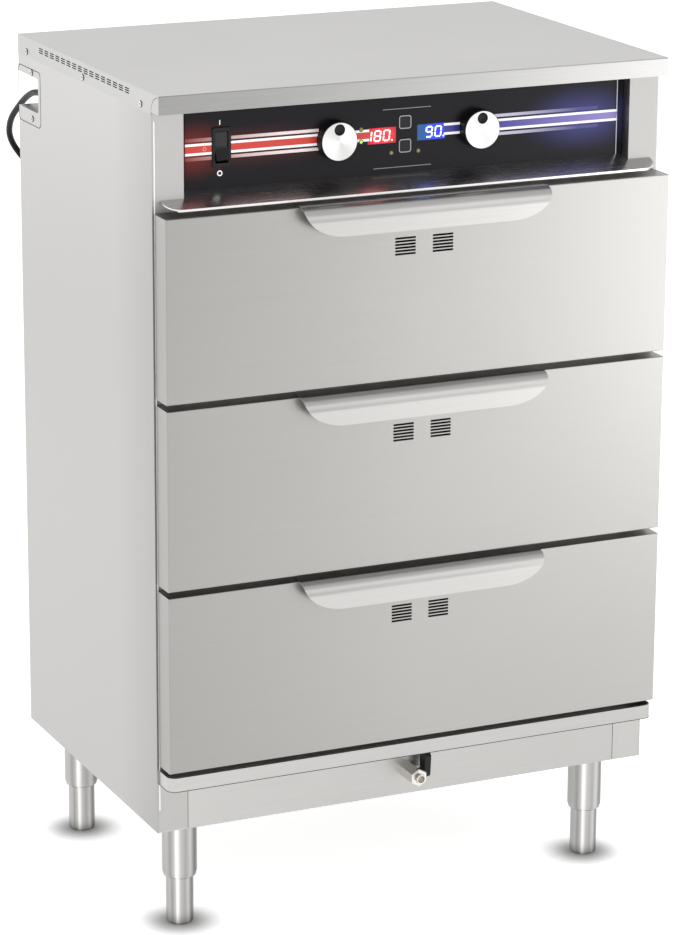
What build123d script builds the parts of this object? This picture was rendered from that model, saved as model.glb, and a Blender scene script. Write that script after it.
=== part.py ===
"""Heated holding cabinet with three drawers, on four adjustable legs.

Millimetres, +Z up, +X to the right seen from the front, the drawers open towards -Y.
The origin is on the floor, under the middle of the cabinet with its drawer handles.
"""
import os
from math import atan2, cos, degrees, hypot, pi, radians, sin, tan

from build123d import *

# ---------------------------------------------------------------- driving dimensions
body_width = 736.0
body_depth = 495.0
body_height = 1004.0           # from the base to the top of the cover
leg_height = 158.0             # from the floor to the base
sheet = 1.5                    # outer sheet steel
thin_sheet = 1.2               # inner sheet steel
fit = 0.3                      # gap between pieces that lie side by side
running_clearance = 0.05       # radial, of a shaft in its bore

cover_overhang = 25.0          # how far the cover stands out over the control panel
cover_lip_height = 24.5
cover_flange_height = 27.0
cover_lip_return = 10.0
cover_seam = 0.8                 # slit between the side flange and the folded end of the lip
vent_column_count = 16
vent_row_count = 3
vent_column_pitch = 21.3
vent_row_pitch = 2.9
vent_length = 15.0
vent_height = 1.5
vent_drop = 10.0               # from the top of the cover to the middle row
vent_middle_depth = 243.0      # from the front face to the middle column

post_width = 42.5
post_return = 20.0
panel_return = 18.0            # inward flanges of the side panels

drawer_count = 3
drawer_front_height = 244.5
drawer_gap = 8.5
lowest_front_height = 97.0     # from the base to the lowest drawer front
drawer_side_inset = 2.5
drawer_front_depth = 36.7
gasket_thickness = 3.0
gasket_width = 6.0
drawer_travel = 370.0

handle_proud = 22.0
handle_drop = 38.0             # from the top of a drawer front to the lip of its handle
handle_half_top = 179.5
handle_half_lip = 120.0
handle_roll = 20.0             # radius of its rolled top
handle_hook = 16.0             # how far it lies back over the drawer front

louvre_width = 29.8
louvre_height = 2.7
louvre_pitch = 4.26
louvre_count = 6
louvre_middle = 27.4           # from the centre line to the middle of a group
louvre_drop = 63.3             # from the top of a drawer front to the middle of a group
shutter_travel = 32.0
shutter_plate = 1.0

rail_face = 24.0               # height of a cross rail
rail_return = 20.0
sill_height = 85.0             # from the base to the sill rail, which is the skirt's height
top_rail_height = 835.5
top_rail_face = 22.0

insulation_thickness = 25.0
cavity_rear_gap = 65.0         # from the inner back to the back of the body
back_insulation_thickness = 20.0
cavity_floor_height = 109.0
grille_pitch = 14.0
grille_count = 6
grille_slot_width = 10.0
grille_slot_height = 4.0
outlet_inset = 30.0            # from the cavity's side to a column of air outlets
outlet_pitch = 120.0
outlet_count = 5
outlet_width = 8.0
outlet_height = 60.0
cavity_ceiling_height = 845.0

pan_length = 530.0             # across the cabinet
pan_width = 325.0              # front to back
pan_depth = 150.0
pan_wall = 1.0
pan_rim = 14.0
pan_taper = 6.0                # degrees
pan_corner = 38.0
pan_floor_radius = 10.0
pan_front_depth = 48.0         # from the front face to the pan's rim
pan_rim_drop = 40.0            # from the top of a drawer front to the rim

runner_height = 34.0
runner_end_gap = 12.0          # from a runner's end to the inner back
runner_clearance = 2.5         # between a runner and the post it passes
carrier_bar = 26.0             # height of the cross bars
roller_radius = 9.0
roller_width = 12.0
channel_height = 22.0
channel_lip = 3.0
channel_start_depth = 24.0

trough_depth = 38.0
trough_base_height = 70.0
trough_height = 19.5
trough_corner = 12.0

ledge_overhang = 27.0
ledge_back_height = 864.5      # at the front face, above the base
ledge_front_height = 856.0
ledge_side_inset = 11.0
ledge_corner = 22.0
ledge_hem = 3.0

panel_depth = 18.0             # how far the control panel lies behind the front face
overlay_thickness = 0.7
overlay_margin = 9.0
overlay_bottom_height = 868.0
overlay_top_height = 976.0
control_middle_height = 921.0
knob_offset = 104.0
knob_radius = 26.0
knob_height = 14.6
knob_flutes = 30
knob_flute_radius = 1.0
knob_cap_radius = 24.9
knob_cap_thickness = 1.0
dimple_radius = 7.6
dimple_offset = 15.5
shaft_radius = 3.0
encoder_radius = 9.0
display_width = 40.7
display_height = 21.0
display_offset = 36.0
key_size = 18.8
key_offset = -2.5
key_rise = 15.8
key_travel = 0.6
key_proud = 0.7
lamp_radius = 2.3
lamp_proud = 1.0
left_lamp_offset = -66.0
left_lamp_heights = (931.5, 915.0)
low_lamp_offsets = (-22.0, 17.4)
low_lamp_height = 897.0
switch_inset = 50.5            # from the end of the overlay
switch_height = 923.7
bezel_width = 26.4
bezel_height = 52.7
bezel_proud = 2.0
bezel_corner = 3.0
switch_body_width = 22.0
switch_body_height = 47.0
switch_body_depth = 26.0
rocker_width = 17.8
rocker_half_length = 18.4
rocker_tilt = 11.0             # degrees each side of its middle
rocker_vertex = 6.0            # from its pivot to the valley of its face
board_depth = 27.0             # from the front face to the circuit board
board_thickness = 1.6
board_half_width = 140.0
board_height = 84.0
relay_inset = 20.0             # from the end of the circuit board
relay_width = 50.0
relay_height = 40.0
relay_depth = 24.0
relay_rise = 10.0              # top of the relay above the middle of the board
chip_offset = 5.0
chip_width = 50.0
chip_height = 40.0
chip_depth = 6.0
terminal_inset = 15.0
terminal_rise = 8.0            # from the bottom of the board
terminal_width = 55.0
terminal_height = 20.0
terminal_depth = 14.0

valve_offset = 3.0
valve_height = 35.0
valve_across_flats = 22.0
valve_length = 38.0
valve_bore = 5.0
nipple_radius = 6.2
nipple_length = 6.0
lever_depth = 17.0             # from the front face to the lever's stem
lever_length = 28.0
lever_thickness = 9.0
lever_hub = 7.5
lever_stem = 3.0

leg_inset_x = 55.0
leg_inset_y = 59.0
leg_radius = 24.0
leg_wall = 1.6
foot_radius = 18.9
foot_height = 68.0             # showing under the leg's socket
foot_insert = 45.0
foot_travel = 25.0
leg_stud_radius = 10.0
leg_stud_length = 14.0

water_pan_half_length = 150.0
water_pan_width = 260.0
water_pan_height = 26.0
water_pan_front_depth = 90.0
drain_radius = 6.0
heater_radius = 4.0
heater_wall_gap = 60.0
heater_clip_depth = 250.0
heater_clip_width = 8.0
heater_clip_thickness = 2.0
heater_front_depth = 55.0
heater_bend = 30.0
heater_lift = 12.0

fan_radius = 55.0
fan_hub_radius = 14.0
fan_depth = 14.0
fan_blade_count = 14
fan_height = 470.0
motor_radius = 34.0
motor_length = 26.0

recess_length = 78.0           # from the back of the body to the front of the cord recess
recess_top_gap = 24.0          # from the cover's flange to the top of the recess
recess_height = 48.0
recess_width = 52.0
recess_rim_front = 9.0
recess_rim_top = 10.0
recess_rim_bottom = 20.0
recess_corner = 12.0
gland_offset = 18.0            # from the side panel to the middle of the gland
gland_rise = 21.0              # from the bottom of the recess
gland_radius = 10.0
gland_length = 28.0
gland_nut = 6.0
screw_radius = 3.6
screw_head = 1.2
screw_inset = 35.5
cover_screw_drop = 19.5
rim_screw_inset = 24.0

cord_diameter = 9.0
cord_gap = 0.6                 # between layers of the coil
coil_radius = 54.5             # outermost turn, at the middle of the cord
coil_pitch = 10.5              # how much the radius falls in a turn
coil_turns = 2
coil_middle = (-12.0, 404.75)
plug_body_length = 36.0
plug_body_width = 32.0
plug_body_height = 27.0
plug_neck_length = 16.0
plug_neck_radius = 6.5
blade_length = 17.0
blade_thickness = 1.5
blade_height = 6.3
blade_spacing = 12.7
ground_pin_radius = 2.4
ground_pin_length = 20.0
ground_pin_drop = 11.9

# ---------------------------------------------------------------- derived places
base_z = leg_height
top_z = base_z + body_height
half = body_width / 2
front_reach = gasket_thickness + drawer_front_depth + handle_proud
face_y = -(body_depth - front_reach) / 2      # the front face of the posts
back_y = face_y + body_depth
post_inner = half - sheet - post_width
drawer_half = half - drawer_side_inset
front_plane_y = face_y - gasket_thickness - drawer_front_depth
cavity_half = half - sheet - insulation_thickness - thin_sheet
runner_half_gap = post_inner - runner_clearance
heater_half_width = cavity_half - heater_wall_gap
overlay_half = post_inner - overlay_margin
switch_offset = switch_inset - overlay_half
cavity_back_depth = body_depth - cavity_rear_gap
cavity_back_y = face_y + cavity_back_depth
runner_end_depth = cavity_back_depth - runner_end_gap
recess_front_depth = body_depth - recess_length
recess_bottom_height = body_height - cover_flange_height - recess_top_gap - recess_height
gland_height = recess_bottom_height + gland_rise
panel_y = face_y + panel_depth
overlay_y = panel_y - overlay_thickness
board_y = face_y + board_depth
control_z = base_z + control_middle_height
LEFT, RIGHT = -1, 1

os.makedirs("parts", exist_ok=True)


def save(part, name):
    """Name a finished piece and write it out."""
    part.label = name
    export_step(part, f"parts/{name}.step")


def block(x, y, z, mode=Mode.ADD):
    """Add or cut a plate that spans three (low, high) ranges."""
    with Locations(((x[0] + x[1]) / 2, (y[0] + y[1]) / 2, (z[0] + z[1]) / 2)):
        Box(x[1] - x[0], y[1] - y[0], z[1] - z[0], mode=mode)


def front_bottom(index):
    """Height of the lower edge of a drawer front; 0 is the top drawer."""
    pitch = drawer_front_height + drawer_gap
    return base_z + lowest_front_height + (drawer_count - 1 - index) * pitch


# ---------------------------------------------------------------- outer casing
def make_top_cover():
    flange_z = top_z - cover_flange_height
    lip_z = top_z - cover_lip_height
    front = face_y - cover_overhang
    with BuildPart() as cover:
        block((-half, half), (front, back_y), (flange_z, top_z))
        fillet(cover.edges().filter_by(Axis.X).group_by(Axis.Z)[-1].sort_by(Axis.Y)[0], sheet * 1.2)
        inner_x = (-half + sheet, half - sheet)
        block(inner_x, (front + sheet, back_y - sheet), (flange_z, top_z - sheet), Mode.SUBTRACT)
        block((-half, half), (front, face_y), (flange_z, lip_z), Mode.SUBTRACT)
        block(inner_x, (front + sheet, front + sheet + cover_lip_return), (lip_z, lip_z + sheet))
        with BuildSketch(Plane.YZ.offset(-half)) as vents:
            with Locations((face_y + vent_middle_depth, top_z - vent_drop)):
                with GridLocations(vent_column_pitch, vent_row_pitch, vent_column_count, vent_row_count):
                    Rectangle(vent_length, vent_height)
        extrude(vents.sketch, amount=body_width, mode=Mode.SUBTRACT)
        with BuildSketch(Plane.YZ.offset(-half)) as seams:
            with Locations((front + sheet, flange_z)):
                Circle(cover_overhang)
                Circle(cover_overhang - cover_seam, mode=Mode.SUBTRACT)
            with Locations((front + sheet + cover_overhang / 2, flange_z + cover_lip_height / 2)):
                Rectangle(cover_overhang, cover_lip_height, mode=Mode.INTERSECT)
        extrude(seams.sketch, amount=body_width, mode=Mode.SUBTRACT)
    save(cover.part, "top_cover")


def recess_rim_plan(grow):
    """Outline of the cord recess's rim in the side panel, wider by grow."""
    front = face_y + recess_front_depth - recess_rim_front - grow
    low = base_z + recess_bottom_height - recess_rim_bottom - grow
    high = base_z + recess_bottom_height + recess_height + recess_rim_top + grow
    with BuildSketch(Plane.YZ.offset(-half)) as rim:
        with Locations(((front + back_y) / 2, (low + high) / 2)):
            Rectangle(back_y - front, high - low)
        fillet(rim.vertices().group_by(Axis.Y)[0], recess_corner)
    return rim.sketch


def make_side_panel(side, name):
    """A bent sheet with a flange along its back and its foot."""
    top = top_z - cover_flange_height
    inner = side * (half - sheet)
    with BuildPart() as panel:
        with BuildSketch(Plane.XY.offset(base_z)) as plan:
            with BuildLine():
                Polyline(
                    (side * half, face_y),
                    (side * half, back_y - sheet),
                    (side * (half - panel_return), back_y - sheet),
                    (side * (half - panel_return), back_y - 2 * sheet),
                    (inner, back_y - 2 * sheet),
                    (inner, face_y),
                    close=True,
                )
            make_face()
        extrude(plan.sketch, amount=top - base_z)
        flange = sorted((inner, side * (half - panel_return)))
        low = base_z + sheet
        block(flange, (face_y + post_return, back_y - 2 * sheet), (low, low + sheet))
        if side == LEFT:
            extrude(recess_rim_plan(fit), amount=panel_return, mode=Mode.SUBTRACT)
    save(panel.part, name)


def make_back_panel():
    top = top_z - cover_flange_height
    with BuildPart() as panel:
        block((-half + fit, half - fit), (back_y - sheet, back_y), (base_z, top))
        low = base_z + recess_bottom_height - sheet
        high = base_z + recess_bottom_height + recess_height + sheet
        block((-half, -half + recess_width), (back_y - sheet, back_y), (low, high), Mode.SUBTRACT)
        block((-half, -half + sheet + fit), (back_y - sheet, back_y),
              (low - recess_rim_bottom, high + recess_rim_top), Mode.SUBTRACT)
    save(panel.part, "back_panel")


def leg_places():
    x = half - leg_inset_x
    return [(-x, face_y + leg_inset_y), (x, face_y + leg_inset_y),
            (-x, back_y - leg_inset_y), (x, back_y - leg_inset_y)]


def make_base_pan():
    """The floor of the casing with the skirt under the drawers bent up from it."""
    with BuildPart() as base:
        block((-half + sheet, half - sheet), (face_y, back_y - 2 * sheet), (base_z, base_z + sheet))
        block((-post_inner, post_inner), (face_y, face_y + sheet), (base_z, base_z + sill_height))
        with BuildSketch(Plane.XY.offset(base_z)) as studs:
            with Locations(*leg_places()):
                Circle(leg_stud_radius + fit)
        extrude(studs.sketch, amount=sheet, mode=Mode.SUBTRACT)
        with BuildSketch(Plane.XZ.offset(-face_y - sheet)) as pipe:
            with Locations((valve_offset, base_z + valve_height)):
                Circle(drain_radius + fit)
        extrude(pipe.sketch, amount=sheet, mode=Mode.SUBTRACT)
    save(base.part, "base_pan")


def make_front_posts():
    with BuildPart() as posts:
        with BuildSketch(Plane.XY.offset(base_z + sheet)) as plan:
            with BuildLine():
                Polyline(
                    (half - sheet, face_y),
                    (half - sheet, face_y + sheet),
                    (post_inner + sheet, face_y + sheet),
                    (post_inner + sheet, face_y + post_return),
                    (post_inner, face_y + post_return),
                    (post_inner, face_y),
                    close=True,
                )
            make_face()
            mirror(about=Plane.YZ)
        extrude(plan.sketch, amount=body_height - 2 * sheet)
    save(posts.part, "front_posts")


def rail_spans():
    """(low, high) of the four cross rails, from the sill to the top."""
    spans = [(base_z + sill_height, base_z + sill_height + rail_face)]
    for index in range(drawer_count - 2, -1, -1):
        middle = front_bottom(index) - drawer_gap / 2
        spans.append((middle - rail_face / 2, middle + rail_face / 2))
    spans.append((base_z + top_rail_height, base_z + top_rail_height + top_rail_face))
    return spans


def make_cross_rails():
    with BuildPart() as rails:
        for low, high in rail_spans():
            with BuildSketch(Plane.YZ.offset(-post_inner)) as profile:
                with BuildLine():
                    Polyline(
                        (face_y, low),
                        (face_y + rail_return, low),
                        (face_y + rail_return, low + sheet),
                        (face_y + sheet, low + sheet),
                        (face_y + sheet, high - sheet),
                        (face_y + rail_return, high - sheet),
                        (face_y + rail_return, high),
                        (face_y, high),
                        close=True,
                    )
                make_face()
            extrude(profile.sketch, amount=2 * post_inner)
    save(rails.part, "cross_rails")


def make_gaskets():
    """One soft ring for each drawer, on the faces of the posts and the rails."""
    spans = rail_spans()
    outer = post_inner + 2 * gasket_width
    with BuildPart() as gaskets:
        for lower, upper in zip(spans, spans[1:]):
            low = lower[1] - gasket_width - sheet
            high = upper[0] + gasket_width + sheet
            with BuildSketch(Plane.XZ.offset(-face_y)) as ring:
                with Locations((0, (low + high) / 2)):
                    RectangleRounded(2 * outer, high - low, 2 * gasket_width)
                    RectangleRounded(2 * (outer - gasket_width), high - low - 2 * gasket_width,
                                     gasket_width, mode=Mode.SUBTRACT)
            extrude(ring.sketch, amount=gasket_thickness - fit)
    save(gaskets.part, "drawer_gaskets")


def make_drip_trough():
    low = base_z + trough_base_height
    plan_width = 2 * drawer_half
    with BuildPart() as trough:
        with BuildSketch(Plane.XY.offset(low)) as outer:
            with Locations((0, face_y - trough_depth / 2)):
                Rectangle(plan_width, trough_depth)
            fillet(outer.vertices().group_by(Axis.Y)[0], trough_corner)
        extrude(outer.sketch, amount=trough_height)
        with BuildSketch(Plane.XY.offset(low + sheet)) as inner:
            add(offset(outer.sketch, amount=-sheet, mode=Mode.PRIVATE).moved(Location((0, 0, sheet))))
        extrude(inner.sketch, amount=trough_height, mode=Mode.SUBTRACT)
    save(trough.part, "drip_trough")


def make_drip_ledge():
    """A sloping sheet over the top drawer that carries spills clear of it."""
    slope = (ledge_back_height - ledge_front_height) / ledge_overhang
    back_z = base_z + ledge_back_height
    front_z = base_z + ledge_front_height
    rear_y = overlay_y - fit
    rear_z = back_z + slope * (rear_y - face_y)
    ledge_half = half - ledge_side_inset
    with BuildPart() as ledge:
        with BuildSketch(Plane.YZ.offset(-ledge_half)) as profile:
            with BuildLine():
                Polyline(
                    (rear_y, rear_z),
                    (face_y - ledge_overhang, front_z),
                    (face_y - ledge_overhang, front_z - ledge_hem),
                    (face_y - ledge_overhang + sheet, front_z - ledge_hem),
                    (face_y - ledge_overhang + sheet, front_z - sheet),
                    (rear_y, rear_z - sheet),
                    close=True,
                )
            make_face()
        extrude(profile.sketch, amount=2 * ledge_half)
        with BuildSketch(Plane.XY.offset(front_z - 2 * ledge_hem)) as plan:
            with Locations((0, face_y - fit - (ledge_overhang - fit) / 2)):
                Rectangle(2 * ledge_half, ledge_overhang - fit)
            fillet(plan.vertices().group_by(Axis.Y)[0], ledge_corner)
            with Locations((0, (rear_y + face_y - fit) / 2)):
                Rectangle(2 * (post_inner - fit), rear_y - face_y + fit)
        extrude(plan.sketch, amount=rear_z - front_z + 4 * ledge_hem, mode=Mode.INTERSECT)
    save(ledge.part, "drip_ledge")


# ---------------------------------------------------------------- control panel
def make_control_panel():
    low = base_z + ledge_back_height
    high = top_z - sheet
    reach = post_inner - fit
    with BuildPart() as panel:
        block((-reach, reach), (panel_y, panel_y + sheet), (low, high))
        block((-reach, reach), (panel_y, board_y + board_thickness * 6), (low, low + sheet))
        for side in (LEFT, RIGHT):
            flange = sorted((side * (reach - sheet), side * reach))
            block(flange, (panel_y, board_y + board_thickness * 6), (low, high))
        block((-overlay_half, overlay_half), (overlay_y, panel_y),
              (base_z + overlay_bottom_height, base_z + overlay_top_height))
        with BuildSketch(Plane.XZ.offset(-panel_y - sheet)) as holes:
            with Locations((switch_offset, base_z + switch_height)):
                Rectangle(switch_body_width + 2 * fit, switch_body_height + 2 * fit)
            with Locations((-display_offset, control_z), (display_offset, control_z)):
                Rectangle(display_width + 2 * fit, display_height + 2 * fit)
            with Locations((key_offset, control_z + key_rise), (key_offset, control_z - key_rise)):
                RectangleRounded(key_size + 2 * fit, key_size + 2 * fit, 2.5)
            with Locations((-knob_offset, control_z), (knob_offset, control_z)):
                Circle(shaft_radius + 2 * fit)
            with Locations(*lamp_places()):
                Circle(lamp_radius + fit)
        extrude(holes.sketch, amount=sheet + overlay_thickness, mode=Mode.SUBTRACT)
    save(panel.part, "control_panel")


def lamp_places():
    places = [(left_lamp_offset, base_z + height) for height in left_lamp_heights]
    places += [(x, base_z + low_lamp_height) for x in low_lamp_offsets]
    return places


def make_displays():
    for side, name in ((LEFT, "temperature_display"), (RIGHT, "humidity_display")):
        middle = side * display_offset
        with BuildPart() as display:
            block((middle - display_width / 2, middle + display_width / 2), (overlay_y, board_y),
                  (control_z - display_height / 2, control_z + display_height / 2))
        save(display.part, name)


def make_indicator_lamps():
    """Four round lamps with bevelled noses, on the circuit board."""
    with BuildPart() as lamps:
        with BuildSketch(Plane.XZ.offset(-board_y)) as discs:
            with Locations(*lamp_places()):
                Circle(lamp_radius)
        extrude(discs.sketch, amount=board_y - overlay_y + lamp_proud)
        chamfer(lamps.edges().group_by(Axis.Y)[0], lamp_proud * 0.7)
    save(lamps.part, "indicator_lamps")


def make_control_board():
    """The circuit board with the two encoders, on standoffs behind the panel."""
    rear = board_y + board_thickness
    with BuildPart() as board:
        block((-board_half_width, board_half_width), (board_y, rear),
              (control_z - board_height / 2, control_z + board_height / 2))
        with BuildSketch(Plane.XZ.offset(-board_y)) as standoffs:
            with Locations((0, control_z)):
                with GridLocations(2 * board_half_width - 12, board_height - 12, 2, 2):
                    Circle(3)
        extrude(standoffs.sketch, amount=board_y - panel_y - sheet)
        with BuildSketch(Plane.XZ.offset(-board_y)) as encoders:
            with Locations((-knob_offset, control_z), (knob_offset, control_z)):
                Circle(encoder_radius)
        extrude(encoders.sketch, amount=board_y - panel_y - sheet)
        with BuildSketch(Plane.XZ.offset(-rear)) as bores:
            with Locations((-knob_offset, control_z), (knob_offset, control_z)):
                Circle(shaft_radius + running_clearance)
        extrude(bores.sketch, amount=rear - panel_y, mode=Mode.SUBTRACT)
        relay_end = relay_inset - board_half_width
        block((relay_end, relay_end + relay_width), (rear, rear + relay_depth),
              (control_z + relay_rise - relay_height, control_z + relay_rise))
        block((chip_offset - chip_width / 2, chip_offset + chip_width / 2), (rear, rear + chip_depth),
              (control_z - chip_height / 2, control_z + chip_height / 2))
        terminal_end = board_half_width - terminal_inset
        terminal_low = control_z - board_height / 2 + terminal_rise
        block((terminal_end - terminal_width, terminal_end), (rear, rear + terminal_depth),
              (terminal_low, terminal_low + terminal_height))
    save(board.part, "control_board")


def make_knob(side, name):
    """A fluted knob with a dished finger hole and its shaft."""
    back = overlay_y - fit
    front = back - knob_height
    x = side * knob_offset
    axis = Axis((x, 0, control_z), (0, 1, 0))
    with BuildPart() as knob:
        with BuildSketch(Plane.XY.offset(control_z)) as half_profile:
            with BuildLine():
                Polyline(
                    (x, front),
                    (x + knob_cap_radius + fit, front),
                    (x + knob_cap_radius + fit, front - knob_cap_thickness / 2),
                    (x + knob_radius - 0.4, front - knob_cap_thickness / 2),
                    (x + knob_radius, front + 1.2),
                    (x + knob_radius, back),
                    (x + shaft_radius, back),
                    (x + shaft_radius, board_y),
                    (x, board_y),
                    close=True,
                )
            make_face()
        revolve(half_profile.sketch, axis=axis)
        with BuildSketch(Plane.XZ.offset(-back)) as flutes:
            with Locations((x, control_z)):
                with PolarLocations(knob_radius + knob_flute_radius * 0.55, knob_flutes):
                    RegularPolygon(knob_flute_radius, 4)
        extrude(flutes.sketch, amount=knob_height - 1.5, mode=Mode.SUBTRACT)
        with Locations((x, front - dimple_radius * 0.9, control_z + dimple_offset)):
            Sphere(dimple_radius * 1.35, mode=Mode.SUBTRACT)
    save(knob.part, f"{name}_knob")
    with BuildPart() as cap:
        with BuildSketch(Plane.XZ.offset(-front)) as disc:
            with Locations((x, control_z)):
                Circle(knob_cap_radius)
            with Locations((x, control_z + dimple_offset)):
                Circle(dimple_radius, mode=Mode.SUBTRACT)
        extrude(disc.sketch, amount=knob_cap_thickness)
    save(cap.part, f"{name}_knob_cap")


def make_key(z, name):
    """A square key held behind the panel by its flange, over a small switch."""
    back = panel_y + sheet + fit
    with BuildPart() as key:
        with BuildSketch(Plane.XZ.offset(-back)) as face:
            with Locations((key_offset, z)):
                RectangleRounded(key_size, key_size, 2.4)
        extrude(face.sketch, amount=back - overlay_y + key_proud)
        with BuildSketch(Plane.XZ.offset(-back - 1)) as flange:
            with Locations((key_offset, z)):
                RectangleRounded(key_size + 2, key_size + 2, 2.4)
        extrude(flange.sketch, amount=1)
        with BuildSketch(Plane.XZ.offset(-board_y + key_travel + fit)) as plunger:
            with Locations((key_offset, z)):
                Circle(3)
        extrude(plunger.sketch, amount=board_y - key_travel - fit - back)
    save(key.part, name)


def make_switch():
    """The power switch: a housing with a bezel, and its rocker, which stands at on."""
    z = base_z + switch_height
    front = overlay_y - bezel_proud
    rear = panel_y + switch_body_depth
    pivot_y = overlay_y + rocker_vertex
    corner = (rocker_vertex + rocker_half_length * sin(radians(rocker_tilt)),
              rocker_half_length * cos(radians(rocker_tilt)))
    swing = hypot(*corner)
    with BuildPart() as housing:
        with BuildSketch(Plane.XZ.offset(-overlay_y)) as bezel:
            with Locations((switch_offset, z)):
                RectangleRounded(bezel_width, bezel_height, bezel_corner)
        extrude(bezel.sketch, amount=bezel_proud)
        chamfer(housing.faces().sort_by(Axis.Y)[0].edges(), 0.8)
        block((switch_offset - switch_body_width / 2, switch_offset + switch_body_width / 2),
              (overlay_y, rear), (z - switch_body_height / 2, z + switch_body_height / 2))
        block((switch_offset - rocker_width / 2 - fit, switch_offset + rocker_width / 2 + fit),
              (front, rear - 2), (z - swing - fit, z + swing + fit), Mode.SUBTRACT)
        with BuildSketch(Plane.YZ.offset(switch_offset - switch_body_width / 2)) as pin_hole:
            with Locations((pivot_y, z)):
                Circle(2 + running_clearance)
        extrude(pin_hole.sketch, amount=switch_body_width, mode=Mode.SUBTRACT)
    save(housing.part, "switch_bezel")

    tilt = radians(rocker_tilt)
    turned = Plane(origin=(switch_offset - rocker_width / 2, pivot_y, z),
                   x_dir=(0, cos(tilt), -sin(tilt)), z_dir=(1, 0, 0))
    rear_angle = radians(20)
    rear_point = (swing * sin(rear_angle), swing * cos(rear_angle))
    side_angle = (atan2(corner[1], -corner[0]) + atan2(rear_point[1], rear_point[0])) / 2
    side_point = (swing * cos(side_angle), swing * sin(side_angle))
    with BuildPart() as rocker:
        with BuildSketch(turned) as profile:
            with BuildLine():
                Line((-rocker_vertex, 0), (-corner[0], corner[1]))
                ThreePointArc((-corner[0], corner[1]), side_point, rear_point)
                Line(rear_point, (rear_point[0], -rear_point[1]))
                ThreePointArc((rear_point[0], -rear_point[1]), (side_point[0], -side_point[1]),
                              (-corner[0], -corner[1]))
                Line((-corner[0], -corner[1]), (-rocker_vertex, 0))
            make_face()
        extrude(profile.sketch, amount=rocker_width)
        with BuildSketch(Plane.YZ.offset(switch_offset - switch_body_width / 2)) as pin:
            with Locations((pivot_y, z)):
                Circle(2)
        extrude(pin.sketch, amount=switch_body_width)
    save(rocker.part, "switch_rocker")


# ---------------------------------------------------------------- heated cavity
def make_liner():
    low = base_z + cavity_floor_height
    high = base_z + cavity_ceiling_height
    front = face_y + post_return
    with BuildPart() as sides:
        for side in (LEFT, RIGHT):
            span = sorted((side * cavity_half, side * (cavity_half + thin_sheet)))
            block(span, (front, cavity_back_y), (low, high))
            lap = sorted((side * (post_inner + sheet), side * (cavity_half + thin_sheet)))
            block(lap, (front, front + thin_sheet), (low + thin_sheet, high - thin_sheet))
    save(sides.part, "liner_sides")
    with BuildPart() as ends:
        drain = (valve_offset, face_y + water_pan_front_depth + 2 * drain_radius)
        for z in (low, high - thin_sheet):
            block((-cavity_half, cavity_half), (face_y + rail_return, cavity_back_y), (z, z + thin_sheet))
        with BuildSketch(Plane.XY.offset(low)) as hole:
            with Locations(drain):
                Circle(drain_radius + fit)
        extrude(hole.sketch, amount=thin_sheet, mode=Mode.SUBTRACT)
    save(ends.part, "liner_floor_and_ceiling")
    with BuildPart() as back:
        reach = cavity_half + thin_sheet
        block((-reach, reach), (cavity_back_y, cavity_back_y + thin_sheet), (low, high))
        with BuildSketch(Plane.XZ.offset(-cavity_back_y - thin_sheet)) as holes:
            with Locations((0, base_z + fan_height)):
                with GridLocations(grille_pitch, grille_pitch, grille_count, grille_count):
                    Rectangle(grille_slot_width, grille_slot_height)
            with Locations((0, (low + high) / 2)):
                with GridLocations(2 * (cavity_half - outlet_inset), outlet_pitch, 2, outlet_count):
                    Rectangle(outlet_width, outlet_height)
            with Locations(*heater_ends()):
                Circle(heater_radius + fit)
        extrude(holes.sketch, amount=thin_sheet, mode=Mode.SUBTRACT)
    save(back.part, "liner_back")


def heater_ends():
    z = base_z + cavity_floor_height + thin_sheet + heater_lift
    return [(-heater_half_width, z), (heater_half_width, z)]


def make_insulation():
    low = base_z + 2 * sheet
    high = base_z + cavity_ceiling_height
    outer = half - sheet - fit
    inner = cavity_half + thin_sheet + fit
    with BuildPart() as wool:
        for side in (LEFT, RIGHT):
            block(sorted((side * outer, side * inner)),
                  (face_y + post_return + thin_sheet + fit, back_y - 2 * sheet - fit),
                  (low + sheet, high))
        rear = back_y - 2 * sheet - fit
        reach = inner - fit
        block((-reach, reach), (rear - back_insulation_thickness, rear), (low, high))
        with BuildSketch(Plane.XZ.offset(-rear)) as motor_space:
            with Locations((0, base_z + fan_height)):
                Circle(motor_radius + 2)
        extrude(motor_space.sketch, amount=back_insulation_thickness, mode=Mode.SUBTRACT)
    save(wool.part, "insulation")


def fan_span():
    front = cavity_back_y + thin_sheet + 4
    return front, front + fan_depth


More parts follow.
